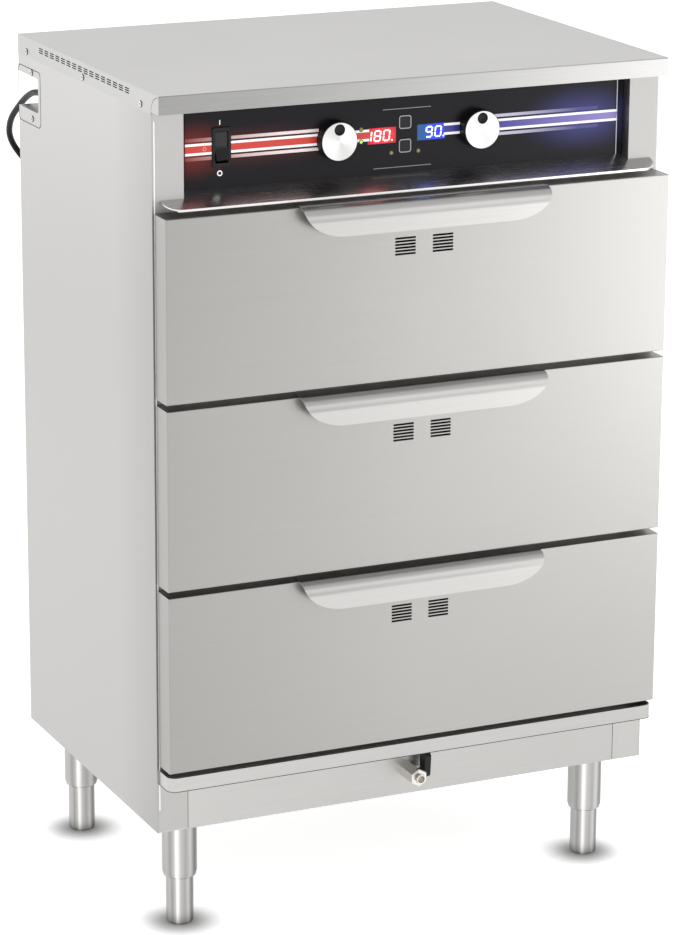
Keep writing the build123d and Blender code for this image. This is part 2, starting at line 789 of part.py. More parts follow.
def make_fan():
    """A round motor on the back panel, and its bladed wheel behind the liner's grille."""
    front, rear = fan_span()
    z = base_z + fan_height
    with BuildPart() as motor:
        mount = back_y - sheet
        with BuildSketch(Plane.XZ.offset(-mount)) as can:
            with Locations((0, z)):
                Circle(motor_radius)
        extrude(can.sketch, amount=motor_length)
        with BuildSketch(Plane.XZ.offset(-mount + motor_length)) as nose:
            with Locations((0, z)):
                Circle(8)
        extrude(nose.sketch, amount=mount - motor_length - rear - 2)
        with BuildSketch(Plane.XZ.offset(-mount)) as bore:
            with Locations((0, z)):
                Circle(shaft_radius + running_clearance)
        extrude(bore.sketch, amount=mount - front, mode=Mode.SUBTRACT)
    save(motor.part, "fan_motor")
    with BuildPart() as wheel:
        with BuildSketch(Plane.XZ.offset(-rear)) as disc:
            with Locations((0, z)):
                Circle(fan_radius)
        extrude(disc.sketch, amount=thin_sheet)
        with BuildSketch(Plane.XZ.offset(-rear)) as hub:
            with Locations((0, z)):
                Circle(fan_hub_radius)
        extrude(hub.sketch, amount=fan_depth)
        with BuildSketch(Plane.XZ.offset(-rear)) as blades:
            with Locations((0, z)):
                with PolarLocations((fan_hub_radius + fan_radius) / 2 + 4, fan_blade_count):
                    Rectangle(26, thin_sheet, rotation=35)
        extrude(blades.sketch, amount=fan_depth)
        with BuildSketch(Plane.XZ.offset(-rear - 16)) as shaft:
            with Locations((0, z)):
                Circle(shaft_radius)
        extrude(shaft.sketch, amount=16)
    save(wheel.part, "fan_wheel")


def make_heating_element():
    """A bent tube round the water pan, held by clips on the cavity floor."""
    floor = base_z + cavity_floor_height + thin_sheet
    z = floor + heater_lift
    front = face_y + heater_front_depth
    rear = cavity_back_y + 12
    with BuildPart() as heater:
        with BuildLine():
            FilletPolyline(
                (-heater_half_width, rear, z),
                (-heater_half_width, front, z),
                (heater_half_width, front, z),
                (heater_half_width, rear, z),
                radius=heater_bend,
            )
        with BuildSketch(Plane((-heater_half_width, rear, z), z_dir=(0, -1, 0))):
            Circle(heater_radius)
        sweep()
        clip = heater_clip_thickness / 2
        for x in (-heater_half_width / 2, heater_half_width / 2):
            block((x - heater_clip_width / 2, x + heater_clip_width / 2), (front - clip, front + clip), (floor, z))
        clip_y = face_y + heater_clip_depth
        for x in (-heater_half_width, heater_half_width):
            block((x - clip, x + clip), (clip_y, clip_y + heater_clip_width), (floor, z))
    save(heater.part, "heating_element")


def make_water_pan():
    """A shallow pan on the cavity floor, with its drain pipe to the valve."""
    floor = base_z + cavity_floor_height + thin_sheet
    front = face_y + water_pan_front_depth
    drain_y = front + 2 * drain_radius
    pipe_z = base_z + valve_height
    with BuildPart() as pan:
        block((-water_pan_half_length, water_pan_half_length), (front, front + water_pan_width),
              (floor, floor + water_pan_height))
        block((-water_pan_half_length + pan_wall, water_pan_half_length - pan_wall),
              (front + pan_wall, front + water_pan_width - pan_wall),
              (floor + pan_wall, floor + water_pan_height), Mode.SUBTRACT)
        with BuildLine():
            FilletPolyline(
                (valve_offset, drain_y, floor + pan_wall / 2),
                (valve_offset, drain_y, pipe_z),
                (valve_offset, face_y + sheet - sheet, pipe_z),
                radius=2.5 * drain_radius,
            )
        with BuildSketch(Plane((valve_offset, drain_y, floor + pan_wall / 2), z_dir=(0, 0, -1))):
            Circle(drain_radius)
        sweep()
    save(pan.part, "water_pan")


# ---------------------------------------------------------------- drain valve
def make_valve():
    """A six-sided valve body with a side lever, in the skirt under the drawers."""
    z = base_z + valve_height
    stem_y = face_y - lever_depth
    side_x = valve_offset + valve_across_flats / 2
    with BuildPart() as valve:
        with BuildSketch(Plane.XZ.offset(-face_y)) as hexagon:
            with Locations((valve_offset, z)):
                RegularPolygon(valve_across_flats / 2, 6, major_radius=False, rotation=30)
        extrude(hexagon.sketch, amount=valve_length)
        chamfer(valve.faces().sort_by(Axis.Y)[0].edges(), 1.2)
        tip_y = face_y - valve_length
        with BuildSketch(Plane.XZ.offset(-tip_y)) as socket:
            with Locations((valve_offset, z)):
                Circle(nipple_radius + 1.6)
        extrude(socket.sketch, amount=-3, mode=Mode.SUBTRACT)
        with BuildSketch(Plane.XZ.offset(-tip_y - 3)) as nipple:
            with Locations((valve_offset, z)):
                Circle(nipple_radius)
        extrude(nipple.sketch, amount=3 + nipple_length)
        with BuildSketch(Plane.XZ.offset(-tip_y + nipple_length)) as bore:
            with Locations((valve_offset, z)):
                Circle(valve_bore)
        extrude(bore.sketch, amount=-nipple_length - 12, mode=Mode.SUBTRACT)
        with BuildSketch(Plane.YZ.offset(side_x)) as stem:
            with Locations((stem_y, z)):
                Circle(lever_stem + 2)
        extrude(stem.sketch, amount=3)
        with BuildSketch(Plane.YZ.offset(side_x + 3)) as stem_bore:
            with Locations((stem_y, z)):
                Circle(lever_stem + running_clearance)
        extrude(stem_bore.sketch, amount=-9, mode=Mode.SUBTRACT)
    save(valve.part, "valve_body")
    with BuildPart() as lever:
        near = side_x + 3 + fit
        with BuildSketch(Plane.YZ.offset(near)) as wing:
            with BuildLine():
                half_tip = lever_hub * 1.25
                ThreePointArc((stem_y - lever_hub, z), (stem_y, z - lever_hub), (stem_y + lever_hub, z))
                Line((stem_y + lever_hub, z), (stem_y + half_tip, z + lever_length - 3))
                Line((stem_y + half_tip, z + lever_length - 3), (stem_y + half_tip - 3, z + lever_length))
                Line((stem_y + half_tip - 3, z + lever_length), (stem_y - half_tip + 3, z + lever_length))
                Line((stem_y - half_tip + 3, z + lever_length), (stem_y - half_tip, z + lever_length - 3))
                Line((stem_y - half_tip, z + lever_length - 3), (stem_y - lever_hub, z))
            make_face()
        extrude(wing.sketch, amount=lever_thickness)
        with BuildSketch(Plane.YZ.offset(near)) as pin:
            with Locations((stem_y, z)):
                Circle(lever_stem)
        extrude(pin.sketch, amount=-8)
    save(lever.part, "valve_lever")


# ---------------------------------------------------------------- legs
def make_legs():
    """Round sockets with turned-in lower ends, and feet that screw out of them."""
    shoulder = 6.0
    names = ("front_left", "front_right", "rear_left", "rear_right")
    with BuildPart() as sockets:
        for x, y in leg_places():
            neck = foot_radius + running_clearance
            with BuildSketch(Plane.XZ.offset(-y)) as profile:
                with BuildLine():
                    Polyline(
                        (x + neck, foot_height),
                        (x + leg_radius - shoulder + 1, foot_height),
                        (x + leg_radius - 1.4, foot_height + 2.4),
                        (x + leg_radius, foot_height + shoulder + 2),
                        (x + leg_radius, base_z),
                        (x + leg_stud_radius, base_z),
                        (x + leg_stud_radius, base_z + leg_stud_length),
                        (x, base_z + leg_stud_length),
                        (x, base_z - leg_wall * 2),
                        (x + leg_radius - leg_wall, base_z - leg_wall * 2),
                        (x + leg_radius - leg_wall, foot_height + shoulder + 12),
                        (x + neck, foot_height + shoulder + 4),
                        (x + neck, foot_height))
                make_face()
            revolve(profile.sketch, axis=Axis((x, y, 0), (0, 0, 1)))
    save(sockets.part, "leg_sockets")
    for (x, y), name in zip(leg_places(), names):
        with BuildPart() as foot:
            with BuildSketch(Plane.XZ.offset(-y)) as profile:
                with BuildLine():
                    Polyline(
                        (x, 0),
                        (x + foot_radius - 3, 0),
                        (x + foot_radius - 0.8, 1.6),
                        (x + foot_radius, 4),
                        (x + foot_radius, foot_height + foot_insert),
                        (x, foot_height + foot_insert),
                        close=True,
                    )
                make_face()
            revolve(profile.sketch, axis=Axis((x, y, 0), (0, 0, 1)))
        save(foot.part, f"{name}_foot")


# ---------------------------------------------------------------- drawers
def make_drawer_front(index, number):
    """A five-sided tray of sheet with two groups of louvres and guides for the shutter."""
    low = front_bottom(index)
    high = low + drawer_front_height
    rear_y = face_y - gasket_thickness
    louvre_z = high - louvre_drop
    with BuildPart() as front:
        block((-drawer_half, drawer_half), (front_plane_y, rear_y), (low, high))
        fillet(front.faces().sort_by(Axis.Y)[0].edges(), 1.2)
        block((-drawer_half + sheet, drawer_half - sheet), (front_plane_y + sheet, rear_y),
              (low + sheet, high - sheet), Mode.SUBTRACT)
        with BuildSketch(Plane.XZ.offset(-front_plane_y - sheet)) as louvres:
            with Locations((0, louvre_z)):
                with GridLocations(2 * louvre_middle, louvre_pitch, 2, louvre_count):
                    Rectangle(louvre_width, louvre_height)
        extrude(louvres.sketch, amount=sheet, mode=Mode.SUBTRACT)
        guide_y = front_plane_y + sheet
        for side in (LEFT, RIGHT):
            edge = louvre_z + side * (shutter_height() / 2 + fit)
            foot = sorted((edge, edge + side * sheet))
            block((-shutter_reach(), shutter_reach()), (guide_y, guide_y + shutter_plate + 2 * fit), foot)
            lap = sorted((edge - side * sheet, edge + side * sheet))
            lap_y = guide_y + shutter_plate + 2 * fit
            block((-shutter_reach(), shutter_reach()), (lap_y, lap_y + sheet), lap)
    save(front.part, f"drawer_{number}_front")


def shutter_height():
    return louvre_count * louvre_pitch + 8


def shutter_reach():
    return louvre_middle + louvre_width / 2 + 2 * shutter_travel


def make_shutter(index, number):
    """A sliding plate with two windows that opens and closes the louvres from behind."""
    louvre_z = front_bottom(index) + drawer_front_height - louvre_drop
    plate_y = front_plane_y + sheet + fit
    tall = shutter_height()
    with BuildPart() as shutter:
        reach = louvre_middle + louvre_width / 2 + shutter_travel
        block((-reach, reach), (plate_y, plate_y + shutter_plate), (louvre_z - tall / 2, louvre_z + tall / 2))
        with BuildSketch(Plane.XZ.offset(-plate_y - shutter_plate)) as windows:
            with Locations((-louvre_middle, louvre_z), (louvre_middle, louvre_z)):
                Rectangle(louvre_width + 1, tall - 4)
        extrude(windows.sketch, amount=shutter_plate, mode=Mode.SUBTRACT)
        block((-2, 2), (plate_y, plate_y + 9), (louvre_z - 7, louvre_z + 7))
    save(shutter.part, f"drawer_{number}_vent_shutter")


def make_handle(index, number):
    """A rolled hood across the top of a drawer front, open below and at its ends."""
    top = front_bottom(index) + drawer_front_height
    lip_z = top - handle_drop
    outer_y = front_plane_y - handle_proud
    roll_z = top + sheet - handle_roll
    roll_y = outer_y + handle_roll
    diagonal = cos(radians(45))
    inner = handle_roll - sheet
    with BuildPart() as handle:
        with BuildSketch(Plane.YZ.offset(-handle_half_top)) as profile:
            with BuildLine():
                Line((front_plane_y + handle_hook, top + sheet), (roll_y, top + sheet))
                ThreePointArc((roll_y, top + sheet),
                              (roll_y - handle_roll * diagonal, roll_z + handle_roll * diagonal),
                              (outer_y, roll_z))
                Line((outer_y, roll_z), (outer_y, lip_z))
                Line((outer_y, lip_z), (outer_y + sheet, lip_z))
                Line((outer_y + sheet, lip_z), (outer_y + sheet, roll_z))
                ThreePointArc((outer_y + sheet, roll_z),
                              (roll_y - inner * diagonal, roll_z + inner * diagonal),
                              (roll_y, top))
                Line((roll_y, top), (front_plane_y + handle_hook, top))
                Line((front_plane_y + handle_hook, top), (front_plane_y + handle_hook, top + sheet))
            make_face()
        extrude(profile.sketch, amount=2 * handle_half_top)
        corner_x = handle_half_top - handle_half_lip
        with BuildSketch(Plane.XZ.offset(-front_plane_y - handle_hook)) as outline:
            with Locations((-handle_half_lip, top), (handle_half_lip, top)):
                Ellipse(corner_x, handle_drop)
            with Locations((0, lip_z + handle_drop / 2)):
                Rectangle(2 * handle_half_lip, handle_drop)
            with Locations((0, top - handle_drop)):
                Rectangle(2 * handle_half_top, 2 * handle_drop, mode=Mode.INTERSECT)
            with Locations((0, top + sheet / 2)):
                Rectangle(2 * handle_half_top, sheet)
        extrude(outline.sketch, amount=handle_hook + handle_proud, mode=Mode.INTERSECT)
    save(handle.part, f"drawer_{number}_handle")


def carrier_levels(index):
    rim_z = front_bottom(index) + drawer_front_height - pan_rim_drop
    return rim_z, rim_z - runner_height


def make_carriage(index, number):
    """The drawer's inner plate, its two runners with rear rollers, and the bars for the pan."""
    low = front_bottom(index)
    high = low + drawer_front_height
    rim_z, runner_low = carrier_levels(index)
    plate_y = face_y - gasket_thickness
    runner_end = face_y + runner_end_depth
    pan_front = face_y + pan_front_depth
    seat = rim_z - pan_wall
    roller_z = runner_low + runner_height / 2
    with BuildPart() as carriage:
        block((-drawer_half + sheet, drawer_half - sheet), (plate_y - thin_sheet, plate_y),
              (low + sheet, high - sheet))
        louvre_z = high - louvre_drop
        block((-shutter_reach(), shutter_reach()), (plate_y - thin_sheet, plate_y),
              (louvre_z - 16, louvre_z + 14), Mode.SUBTRACT)
        for side in (LEFT, RIGHT):
            web = sorted((side * (runner_half_gap - sheet), side * runner_half_gap))
            block(web, (plate_y, runner_end), (runner_low, rim_z))
            shelf = sorted((side * (pan_length / 2 - pan_rim + 1), side * runner_half_gap))
            block(shelf, (pan_front, pan_front + pan_width), (seat - sheet, seat))
            with BuildSketch(Plane.YZ.offset(side * runner_half_gap)) as roller:
                with Locations((runner_end - roller_radius - 1, roller_z)):
                    Circle(roller_radius)
            extrude(roller.sketch, amount=side * roller_width)
        for bar_y in (pan_front, pan_front + pan_width - sheet):
            block((-runner_half_gap, runner_half_gap), (bar_y, bar_y + sheet), (seat - carrier_bar, seat))
        for shelf_y in ((pan_front, pan_front + pan_rim - 1),
                        (pan_front + pan_width - pan_rim + 1, pan_front + pan_width)):
            block((-runner_half_gap, runner_half_gap), shelf_y, (seat - sheet, seat))
    save(carriage.part, f"drawer_{number}_carriage")


def make_slide_rails():
    """Three pairs of channels on the cavity walls, one for the rollers of each drawer."""
    gap = roller_radius + fit
    wall = cavity_half
    with BuildPart() as rails:
        for index in range(drawer_count):
            rim_z, runner_low = carrier_levels(index)
            z = runner_low + runner_height / 2
            for side in (LEFT, RIGHT):
                start = face_y + channel_start_depth
                web = sorted((side * (wall - thin_sheet), side * wall))
                near = side * (runner_half_gap + 2 * fit)
                block(web, (start, cavity_back_y), (z - gap - thin_sheet, z + gap + thin_sheet))
                flange = sorted((near, side * wall))
                block(flange, (start, cavity_back_y), (z + gap, z + gap + thin_sheet))
                block(flange, (start, cavity_back_y), (z - gap - thin_sheet, z - gap))
    save(rails.part, "slide_rails")


def make_food_pan(index, number):
    """A tapered pan with a flat rim and rounded corners, hung in the carriage."""
    rim_z, _ = carrier_levels(index)
    y = face_y + pan_front_depth + pan_width / 2
    mouth = (pan_length - 2 * pan_rim, pan_width - 2 * pan_rim)
    with BuildPart() as pan:
        with BuildSketch(Plane.XY.offset(rim_z)) as outside:
            with Locations((0, y)):
                RectangleRounded(*mouth, pan_corner)
        extrude(outside.sketch, amount=-pan_depth, taper=pan_taper)
        with BuildSketch(Plane.XY.offset(rim_z)) as inside:
            with Locations((0, y)):
                RectangleRounded(mouth[0] - 2 * pan_wall, mouth[1] - 2 * pan_wall, pan_corner - pan_wall)
        extrude(inside.sketch, amount=pan_wall - pan_depth, taper=pan_taper, mode=Mode.SUBTRACT)
        level = pan.faces().filter_by(Axis.Z).sort_by(Axis.Z)
        fillet(level[1].edges(), pan_floor_radius - pan_wall)
        fillet(pan.faces().filter_by(Axis.Z).sort_by(Axis.Z)[0].edges(), pan_floor_radius)
        with BuildSketch(Plane.XY.offset(rim_z - pan_wall)) as rim:
            with Locations((0, y)):
                RectangleRounded(pan_length, pan_width, pan_corner + pan_rim)
                RectangleRounded(mouth[0] - 2 * pan_wall, mouth[1] - 2 * pan_wall,
                                 pan_corner - pan_wall, mode=Mode.SUBTRACT)
        extrude(rim.sketch, amount=pan_wall)
    save(pan.part, f"drawer_{number}_pan")


# ---------------------------------------------------------------- cord recess and screws
def make_cord_recess():
    """The pocket in the rear corner that the cord leaves from, with its rim in the side."""
    low = base_z + recess_bottom_height
    high = base_z + recess_bottom_height + recess_height
    front = face_y + recess_front_depth
    inner_x = -half + recess_width
    with BuildPart() as recess:
        extrude(recess_rim_plan(0), amount=sheet)
        block((-half, inner_x), (front - sheet, back_y), (low - sheet, high + sheet))
        with BuildSketch(Plane.YZ.offset(-half)) as notch:
            with Locations(((front + back_y + 20) / 2, (low + high) / 2)):
                RectangleRounded(back_y + 20 - front, high - low, 5)
        extrude(notch.sketch, amount=recess_width - sheet, mode=Mode.SUBTRACT)
        gland_x = -half + gland_offset
        with BuildSketch(Plane.XZ.offset(-front)) as gland_hole:
            with Locations((gland_x, base_z + gland_height)):
                Circle(gland_radius * 0.7)
        extrude(gland_hole.sketch, amount=sheet, mode=Mode.SUBTRACT)
    save(recess.part, "cord_recess")


def make_cord_gland():
    """A nut on the recess's front wall, with a tapered boot that the cord comes out of."""
    front = face_y + recess_front_depth
    x = -half + gland_offset
    z = base_z + gland_height
    with BuildPart() as gland:
        with BuildSketch(Plane.XZ.offset(-front - gland_nut)) as nut:
            with Locations((x, z)):
                RegularPolygon(gland_radius, 6)
        extrude(nut.sketch, amount=gland_nut)
        with BuildSketch(Plane.XZ.offset(-front)) as thread:
            with Locations((x, z)):
                Circle(gland_radius * 0.7 - fit)
        extrude(thread.sketch, amount=sheet + gland_nut)
        with BuildSketch(Plane.XZ.offset(-front - gland_nut)) as boot:
            with Locations((x, z)):
                Circle(gland_radius * 0.8)
        extrude(boot.sketch, amount=gland_nut - gland_length, taper=4)
    save(gland.part, "cord_gland")


def make_panel_screws():
    """Round-headed screws in the cover's flanges and in the rim of the cord recess."""
    cover_z = top_z - cover_screw_drop
    depths = (screw_inset, vent_middle_depth, body_depth - screw_inset)
    rim_depth = recess_front_depth + rim_screw_inset
    places = [(side, depth, cover_z) for side in (LEFT, RIGHT) for depth in depths]
    places.append((LEFT, rim_depth, base_z + recess_bottom_height + recess_height + recess_rim_top / 2))
    places.append((LEFT, rim_depth, base_z + recess_bottom_height - recess_rim_bottom * 0.55))
    with BuildPart() as screws:
        for side, depth, z in places:
            with BuildSketch(Plane.YZ.offset(side * half)) as head:
                with Locations((face_y + depth, z)):
                    Circle(screw_radius)
            extrude(head.sketch, amount=side * screw_head)
    save(screws.part, "panel_screws")


# ---------------------------------------------------------------- cord, coil and plug
cord_level = cord_diameter / 2 + 0.1          # middle of a cord that lies on the floor
gland_end = (-half + gland_offset, face_y + recess_front_depth + gland_length, base_z + gland_height)
coil_start = (coil_middle[0], coil_middle[1] - coil_radius, cord_level)
coil_level = cord_level + cord_diameter + cord_gap
cord_route = [
    gland_end,
    (gland_end[0], gland_end[1] + 28, gland_end[2]),
    (-350.5, 292, 1072),
    (-352, 324, 1052),
    (-354, 357, 1027),
    (-347, 383, 996),
    (-326, 390, 965),
    (-297, 382, 934),
    (-270, 364, 893),
    (-250, 345, 834),
    (-234, 330, 750),
    (-219, 320, 648),
    (-205, 313, 535),
    (-191, 310, 420),
    (-176, 311, 312),
    (-160, 316, 220),
    (-144, 324, 148),
    (-127, 333, 92),
    (-106, 341, 49),
    (-80, 348, 19),
    (coil_start[0] - cord_diameter - 30, coil_start[1], cord_level),
    (coil_start[0] - cord_diameter, coil_start[1], cord_level),
]
tail_route = [
    (coil_start[0] + cord_diameter, coil_start[1], coil_level),
    (coil_start[0] + 28, coil_start[1], coil_level),
    (coil_start[0] + 52, coil_start[1] - 5, coil_level),
    (coil_start[0] + 72, coil_start[1] - 14, coil_level),
]


def bend_radii(route):
    """For each corner, the largest arc that its two runs allow."""
    radii = []
    for before, here, after in zip(route, route[1:], route[2:]):
        run_in = Vector(*here) - Vector(*before)
        run_out = Vector(*after) - Vector(*here)
        shorter = min(run_in.length, run_out.length)
        radii.append(0.45 * shorter / tan(radians(run_in.get_angle(run_out)) / 2))
    return radii


def make_power_cord():
    """The free cord from the gland to the coil, and its tail from the coil to the plug."""
    with BuildPart() as cord:
        length = 0
        for route in (cord_route, tail_route):
            radii = bend_radii(route)
            print("cord bend radii", [round(radius) for radius in radii])
            with BuildLine() as path:
                FilletPolyline(*route, radius=radii)
            with BuildSketch(Plane(route[0], z_dir=Vector(*route[1]) - Vector(*route[0]))):
                Circle(cord_diameter / 2)
            centre = path.wires()[0]
            sweep(path=centre)
            length += centre.length
    section = pi * cord_diameter ** 2 / 4
    print("cord length", round(length), "volume share", round(cord.part.volume / section / length, 4))
    save(cord.part, "power_cord")


def coil_point(turn):
    """A point of the coil: it spirals in, climbs a layer in half a turn and spirals out."""
    angle = radians(360 * turn - 90)
    radius = coil_radius - coil_pitch * min(turn, coil_turns - turn)
    climb = min(max((turn - coil_turns / 2) * 2 + 0.5, 0), 1)
    rise = (coil_level - cord_level) * climb * climb * (3 - 2 * climb)
    return Vector(coil_middle[0] + radius * cos(angle), coil_middle[1] + radius * sin(angle),
                  cord_level + rise)


def coil_direction(turn):
    if turn in (0, coil_turns):
        return Vector(1, 0, 0)
    return (coil_point(turn + 0.01) - coil_point(turn - 0.01)).normalized()


def biarc(start, start_direction, end, end_direction):
    """Two arcs, tangent to each other, that leave and arrive in the given directions."""
    span = end - start
    both = start_direction + end_direction
    spread = 2 * (1 - start_direction.dot(end_direction))
    along = span.dot(both)
    reach = ((along ** 2 + spread * span.dot(span)) ** 0.5 - along) / spread
    middle = (start + end + (start_direction - end_direction) * reach) * 0.5
    TangentArc(start, middle, tangent=start_direction)
    TangentArc(middle, end, tangent=end_direction * -1, tangent_from_first=False)


def least_gap(path):
    """The smallest distance between parts of the coil that aren't neighbours along it."""
    count = 360
    points = [path.position_at(index / count) for index in range(count + 1)]
    apart = int(4 * cord_diameter / path.length * count)
    distances = []
    for index, point in enumerate(points):
        for other in points[index + apart:]:
            distances.append((other - point).length)
    return min(distances) - cord_diameter


def make_cord_coil():
    """The rest of the cord, wound into a round coil behind the cabinet."""
    lead = Vector(cord_diameter, 0, 0)
    with BuildPart() as coil:
        with BuildLine() as path:
            Line(coil_point(0) - lead, coil_point(0))
            for quarter in range(4 * coil_turns):
                turn = quarter / 4
                following = turn + 0.25
                biarc(coil_point(turn), coil_direction(turn), coil_point(following), coil_direction(following))
            Line(coil_point(coil_turns), coil_point(coil_turns) + lead)
        with BuildSketch(Plane(coil_point(0) - lead, z_dir=(1, 0, 0))):
            Circle(cord_diameter / 2)
        centre = path.wires()[0]
        sweep(path=centre)
    print("coil length", round(centre.length), "least gap", round(least_gap(centre), 2))
    save(coil.part, "cord_coil")


def make_power_plug():
    """A moulded plug with two blades and a round pin, lying beside the coil."""
    end = Vector(*tail_route[-1])
    ahead = (end - Vector(*tail_route[-2])).normalized()
    level = Vector(0, 0, 0)

    def across(distance):
        return Plane(end + ahead * distance + level, x_dir=ahead.cross(Vector(0, 0, 1)), z_dir=ahead)

    face = plug_neck_length + plug_body_length
    with BuildPart() as plug:
        with BuildSketch(across(0)):
            Circle(plug_neck_radius - 1)
        with BuildSketch(across(plug_neck_length)):
            Circle(plug_neck_radius)
        loft(ruled=True)
        with BuildSketch(across(plug_neck_length)):
            RectangleRounded(plug_body_width * 0.7, plug_body_height * 0.7, 6)
        with BuildSketch(across(plug_neck_length + plug_body_length * 0.45)):
            RectangleRounded(plug_body_width, plug_body_height, 6)
        loft(ruled=True)
        with BuildSketch(across(plug_neck_length + plug_body_length * 0.45)):
            RectangleRounded(plug_body_width, plug_body_height, 6)
        extrude(amount=plug_body_length * 0.55)
        with BuildSketch(across(face)) as blades:
            with Locations((-blade_spacing / 2, 3), (blade_spacing / 2, 3)):
                Rectangle(blade_thickness, blade_height)
        extrude(blades.sketch, amount=blade_length)
        with BuildSketch(across(face)) as pin:
            with Locations((0, 3 - ground_pin_drop)):
                Circle(ground_pin_radius)
        extrude(pin.sketch, amount=ground_pin_length)
    save(plug.part, "power_plug")



make_top_cover()
make_side_panel(LEFT, "left_side_panel")
make_side_panel(RIGHT, "right_side_panel")
make_back_panel()
make_base_pan()
make_front_posts()
make_cross_rails()
make_gaskets()
make_drip_trough()
make_drip_ledge()
make_control_panel()
make_displays()
make_indicator_lamps()
make_control_board()
make_knob(LEFT, "temperature")
make_knob(RIGHT, "humidity")
make_key(control_z + key_rise, "upper_key")
make_key(control_z - key_rise, "lower_key")
make_switch()
make_liner()
make_insulation()
make_fan()
make_heating_element()
make_water_pan()
make_valve()
make_legs()
for drawer in range(drawer_count):
    make_drawer_front(drawer, drawer + 1)
    make_shutter(drawer, drawer + 1)
    make_handle(drawer, drawer + 1)
    make_carriage(drawer, drawer + 1)
    make_food_pan(drawer, drawer + 1)
make_slide_rails()
make_cord_recess()
make_cord_gland()
make_panel_screws()
make_power_cord()
make_cord_coil()
make_power_plug()
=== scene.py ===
"""Looks of the three-drawer heated holding cabinet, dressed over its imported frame."""
from math import cos, pi, radians, sin

import bpy
from mathutils import Matrix, Vector


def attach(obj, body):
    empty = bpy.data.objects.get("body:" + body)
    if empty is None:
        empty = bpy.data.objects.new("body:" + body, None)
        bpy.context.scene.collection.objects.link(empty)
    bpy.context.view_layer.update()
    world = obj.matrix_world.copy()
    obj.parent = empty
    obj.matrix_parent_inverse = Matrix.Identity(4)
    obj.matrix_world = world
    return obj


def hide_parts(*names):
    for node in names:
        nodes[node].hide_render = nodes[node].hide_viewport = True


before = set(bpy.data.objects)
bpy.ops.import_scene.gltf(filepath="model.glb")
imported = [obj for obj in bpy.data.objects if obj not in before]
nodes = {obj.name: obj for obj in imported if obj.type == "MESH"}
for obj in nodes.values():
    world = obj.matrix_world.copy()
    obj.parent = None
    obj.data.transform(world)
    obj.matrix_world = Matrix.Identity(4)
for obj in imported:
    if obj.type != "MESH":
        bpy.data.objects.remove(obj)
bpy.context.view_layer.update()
scene = bpy.context.scene
MM = 0.001

# Places on the cabinet, in millimetres, as the part has them.
FACE_Y = -216.65            # front face of the posts
BACK_Y = FACE_Y + 495.0     # rear end of the side panels
BASE_Z = 158.0              # underside of the body
TOP_Z = BASE_Z + 1004.0
HALF = 368.0                # half the body's width
POST_INNER = 324.0          # from the centre to the inner edge of a post
OVERLAY_Y = FACE_Y + 17.3   # face of the printed overlay
OVERLAY_HALF = 315.0
CONTROL_Z = BASE_Z + 921.0  # middle of the knobs and windows
STRIPE_Z = BASE_Z + 922.9
KNOB_X = 104.0              # from the centre to a knob's axis
LEG_X = 313.0
LEG_FRONT_Y = FACE_Y + 59.0
LEG_SPACING_Y = 377.0
CORD_DIAMETER = 9.0
LIT_LAMP = (-66, BASE_Z + 915)
DIM_LAMPS = ((-66, BASE_Z + 931.5), (-22, BASE_Z + 897), (17.4, BASE_Z + 897))

# Turns of a flat shape, so that it faces the front or a side.
FRONT = (pi / 2, 0, 0)
LEFT, RIGHT = (pi / 2, 0, -pi / 2), (pi / 2, 0, pi / 2)


# ---------------------------------------------------------------- camera
def add_camera():
    """The photograph's view: a long lens from the front left, a little above."""
    place = Vector((-2.08633, -4.52834, 2.01447))
    target = Vector((0.01329, 0.04203, 0.5559))
    roll = radians(0.292)
    forward = (target - place).normalized()
    level = forward.cross(Vector((0, 0, 1))).normalized()
    upright = level.cross(forward)
    right = level * cos(roll) + upright * sin(roll)
    up = upright * cos(roll) - level * sin(roll)
    turn = Matrix((right, up, -forward)).transposed().to_4x4()
    bpy.ops.object.camera_add()
    camera = bpy.context.active_object
    camera.name = "camera"
    camera.matrix_world = Matrix.Translation(place) @ turn
    camera.data.lens = 142.66
    camera.data.sensor_width = 36
    camera.data.clip_end = 100
    scene.camera = camera


add_camera()


# ---------------------------------------------------------------- cord
def cord_points():
    """The cord's route in millimetres: out, down behind the cabinet, round the coil, to a plug."""
    floor_clearance, layer_rise = 0.1, 9.6
    level = CORD_DIAMETER / 2 + floor_clearance
    upper_level = level + layer_rise
    middle = (-12.0, 404.75)
    outer_radius, fall, turns, per_turn = 54.5, 10.5, 2, 16
    start = (middle[0], middle[1] - outer_radius)
    route = [
        (-350, 228.35, 1084),
        (-350, 256.35, 1084),
        (-350.5, 292, 1072),
        (-352, 324, 1052),
        (-354, 357, 1027),
        (-347, 383, 996),
        (-326, 390, 965),
        (-297, 382, 934),
        (-270, 364, 893),
        (-250, 345, 834),
        (-234, 330, 750),
        (-219, 320, 648),
        (-205, 313, 535),
        (-191, 310, 420),
        (-176, 311, 312),
        (-160, 316, 220),
        (-144, 324, 148),
        (-127, 333, 92),
        (-106, 341, 49),
        (-80, 348, 19),
        (start[0] - 39, start[1], level),
        (start[0] - 9, start[1], level),
    ]
    for step in range(turns * per_turn + 1):
        turn = step / per_turn
        angle = radians(360 * turn - 90)
        radius = outer_radius - fall * min(turn, turns - turn)
        climb = min(max((turn - turns / 2) * 2 + 0.5, 0), 1)
        rise = (upper_level - level) * climb * climb * (3 - 2 * climb)
        across, back = radius * cos(angle), radius * sin(angle)
        route.append((middle[0] + across, middle[1] + back, level + rise))
    route += [
        (start[0] + 9, start[1], upper_level),
        (start[0] + 28, start[1], upper_level),
        (start[0] + 52, start[1] - 5, upper_level),
        (start[0] + 72, start[1] - 14, upper_level),
    ]
    return route


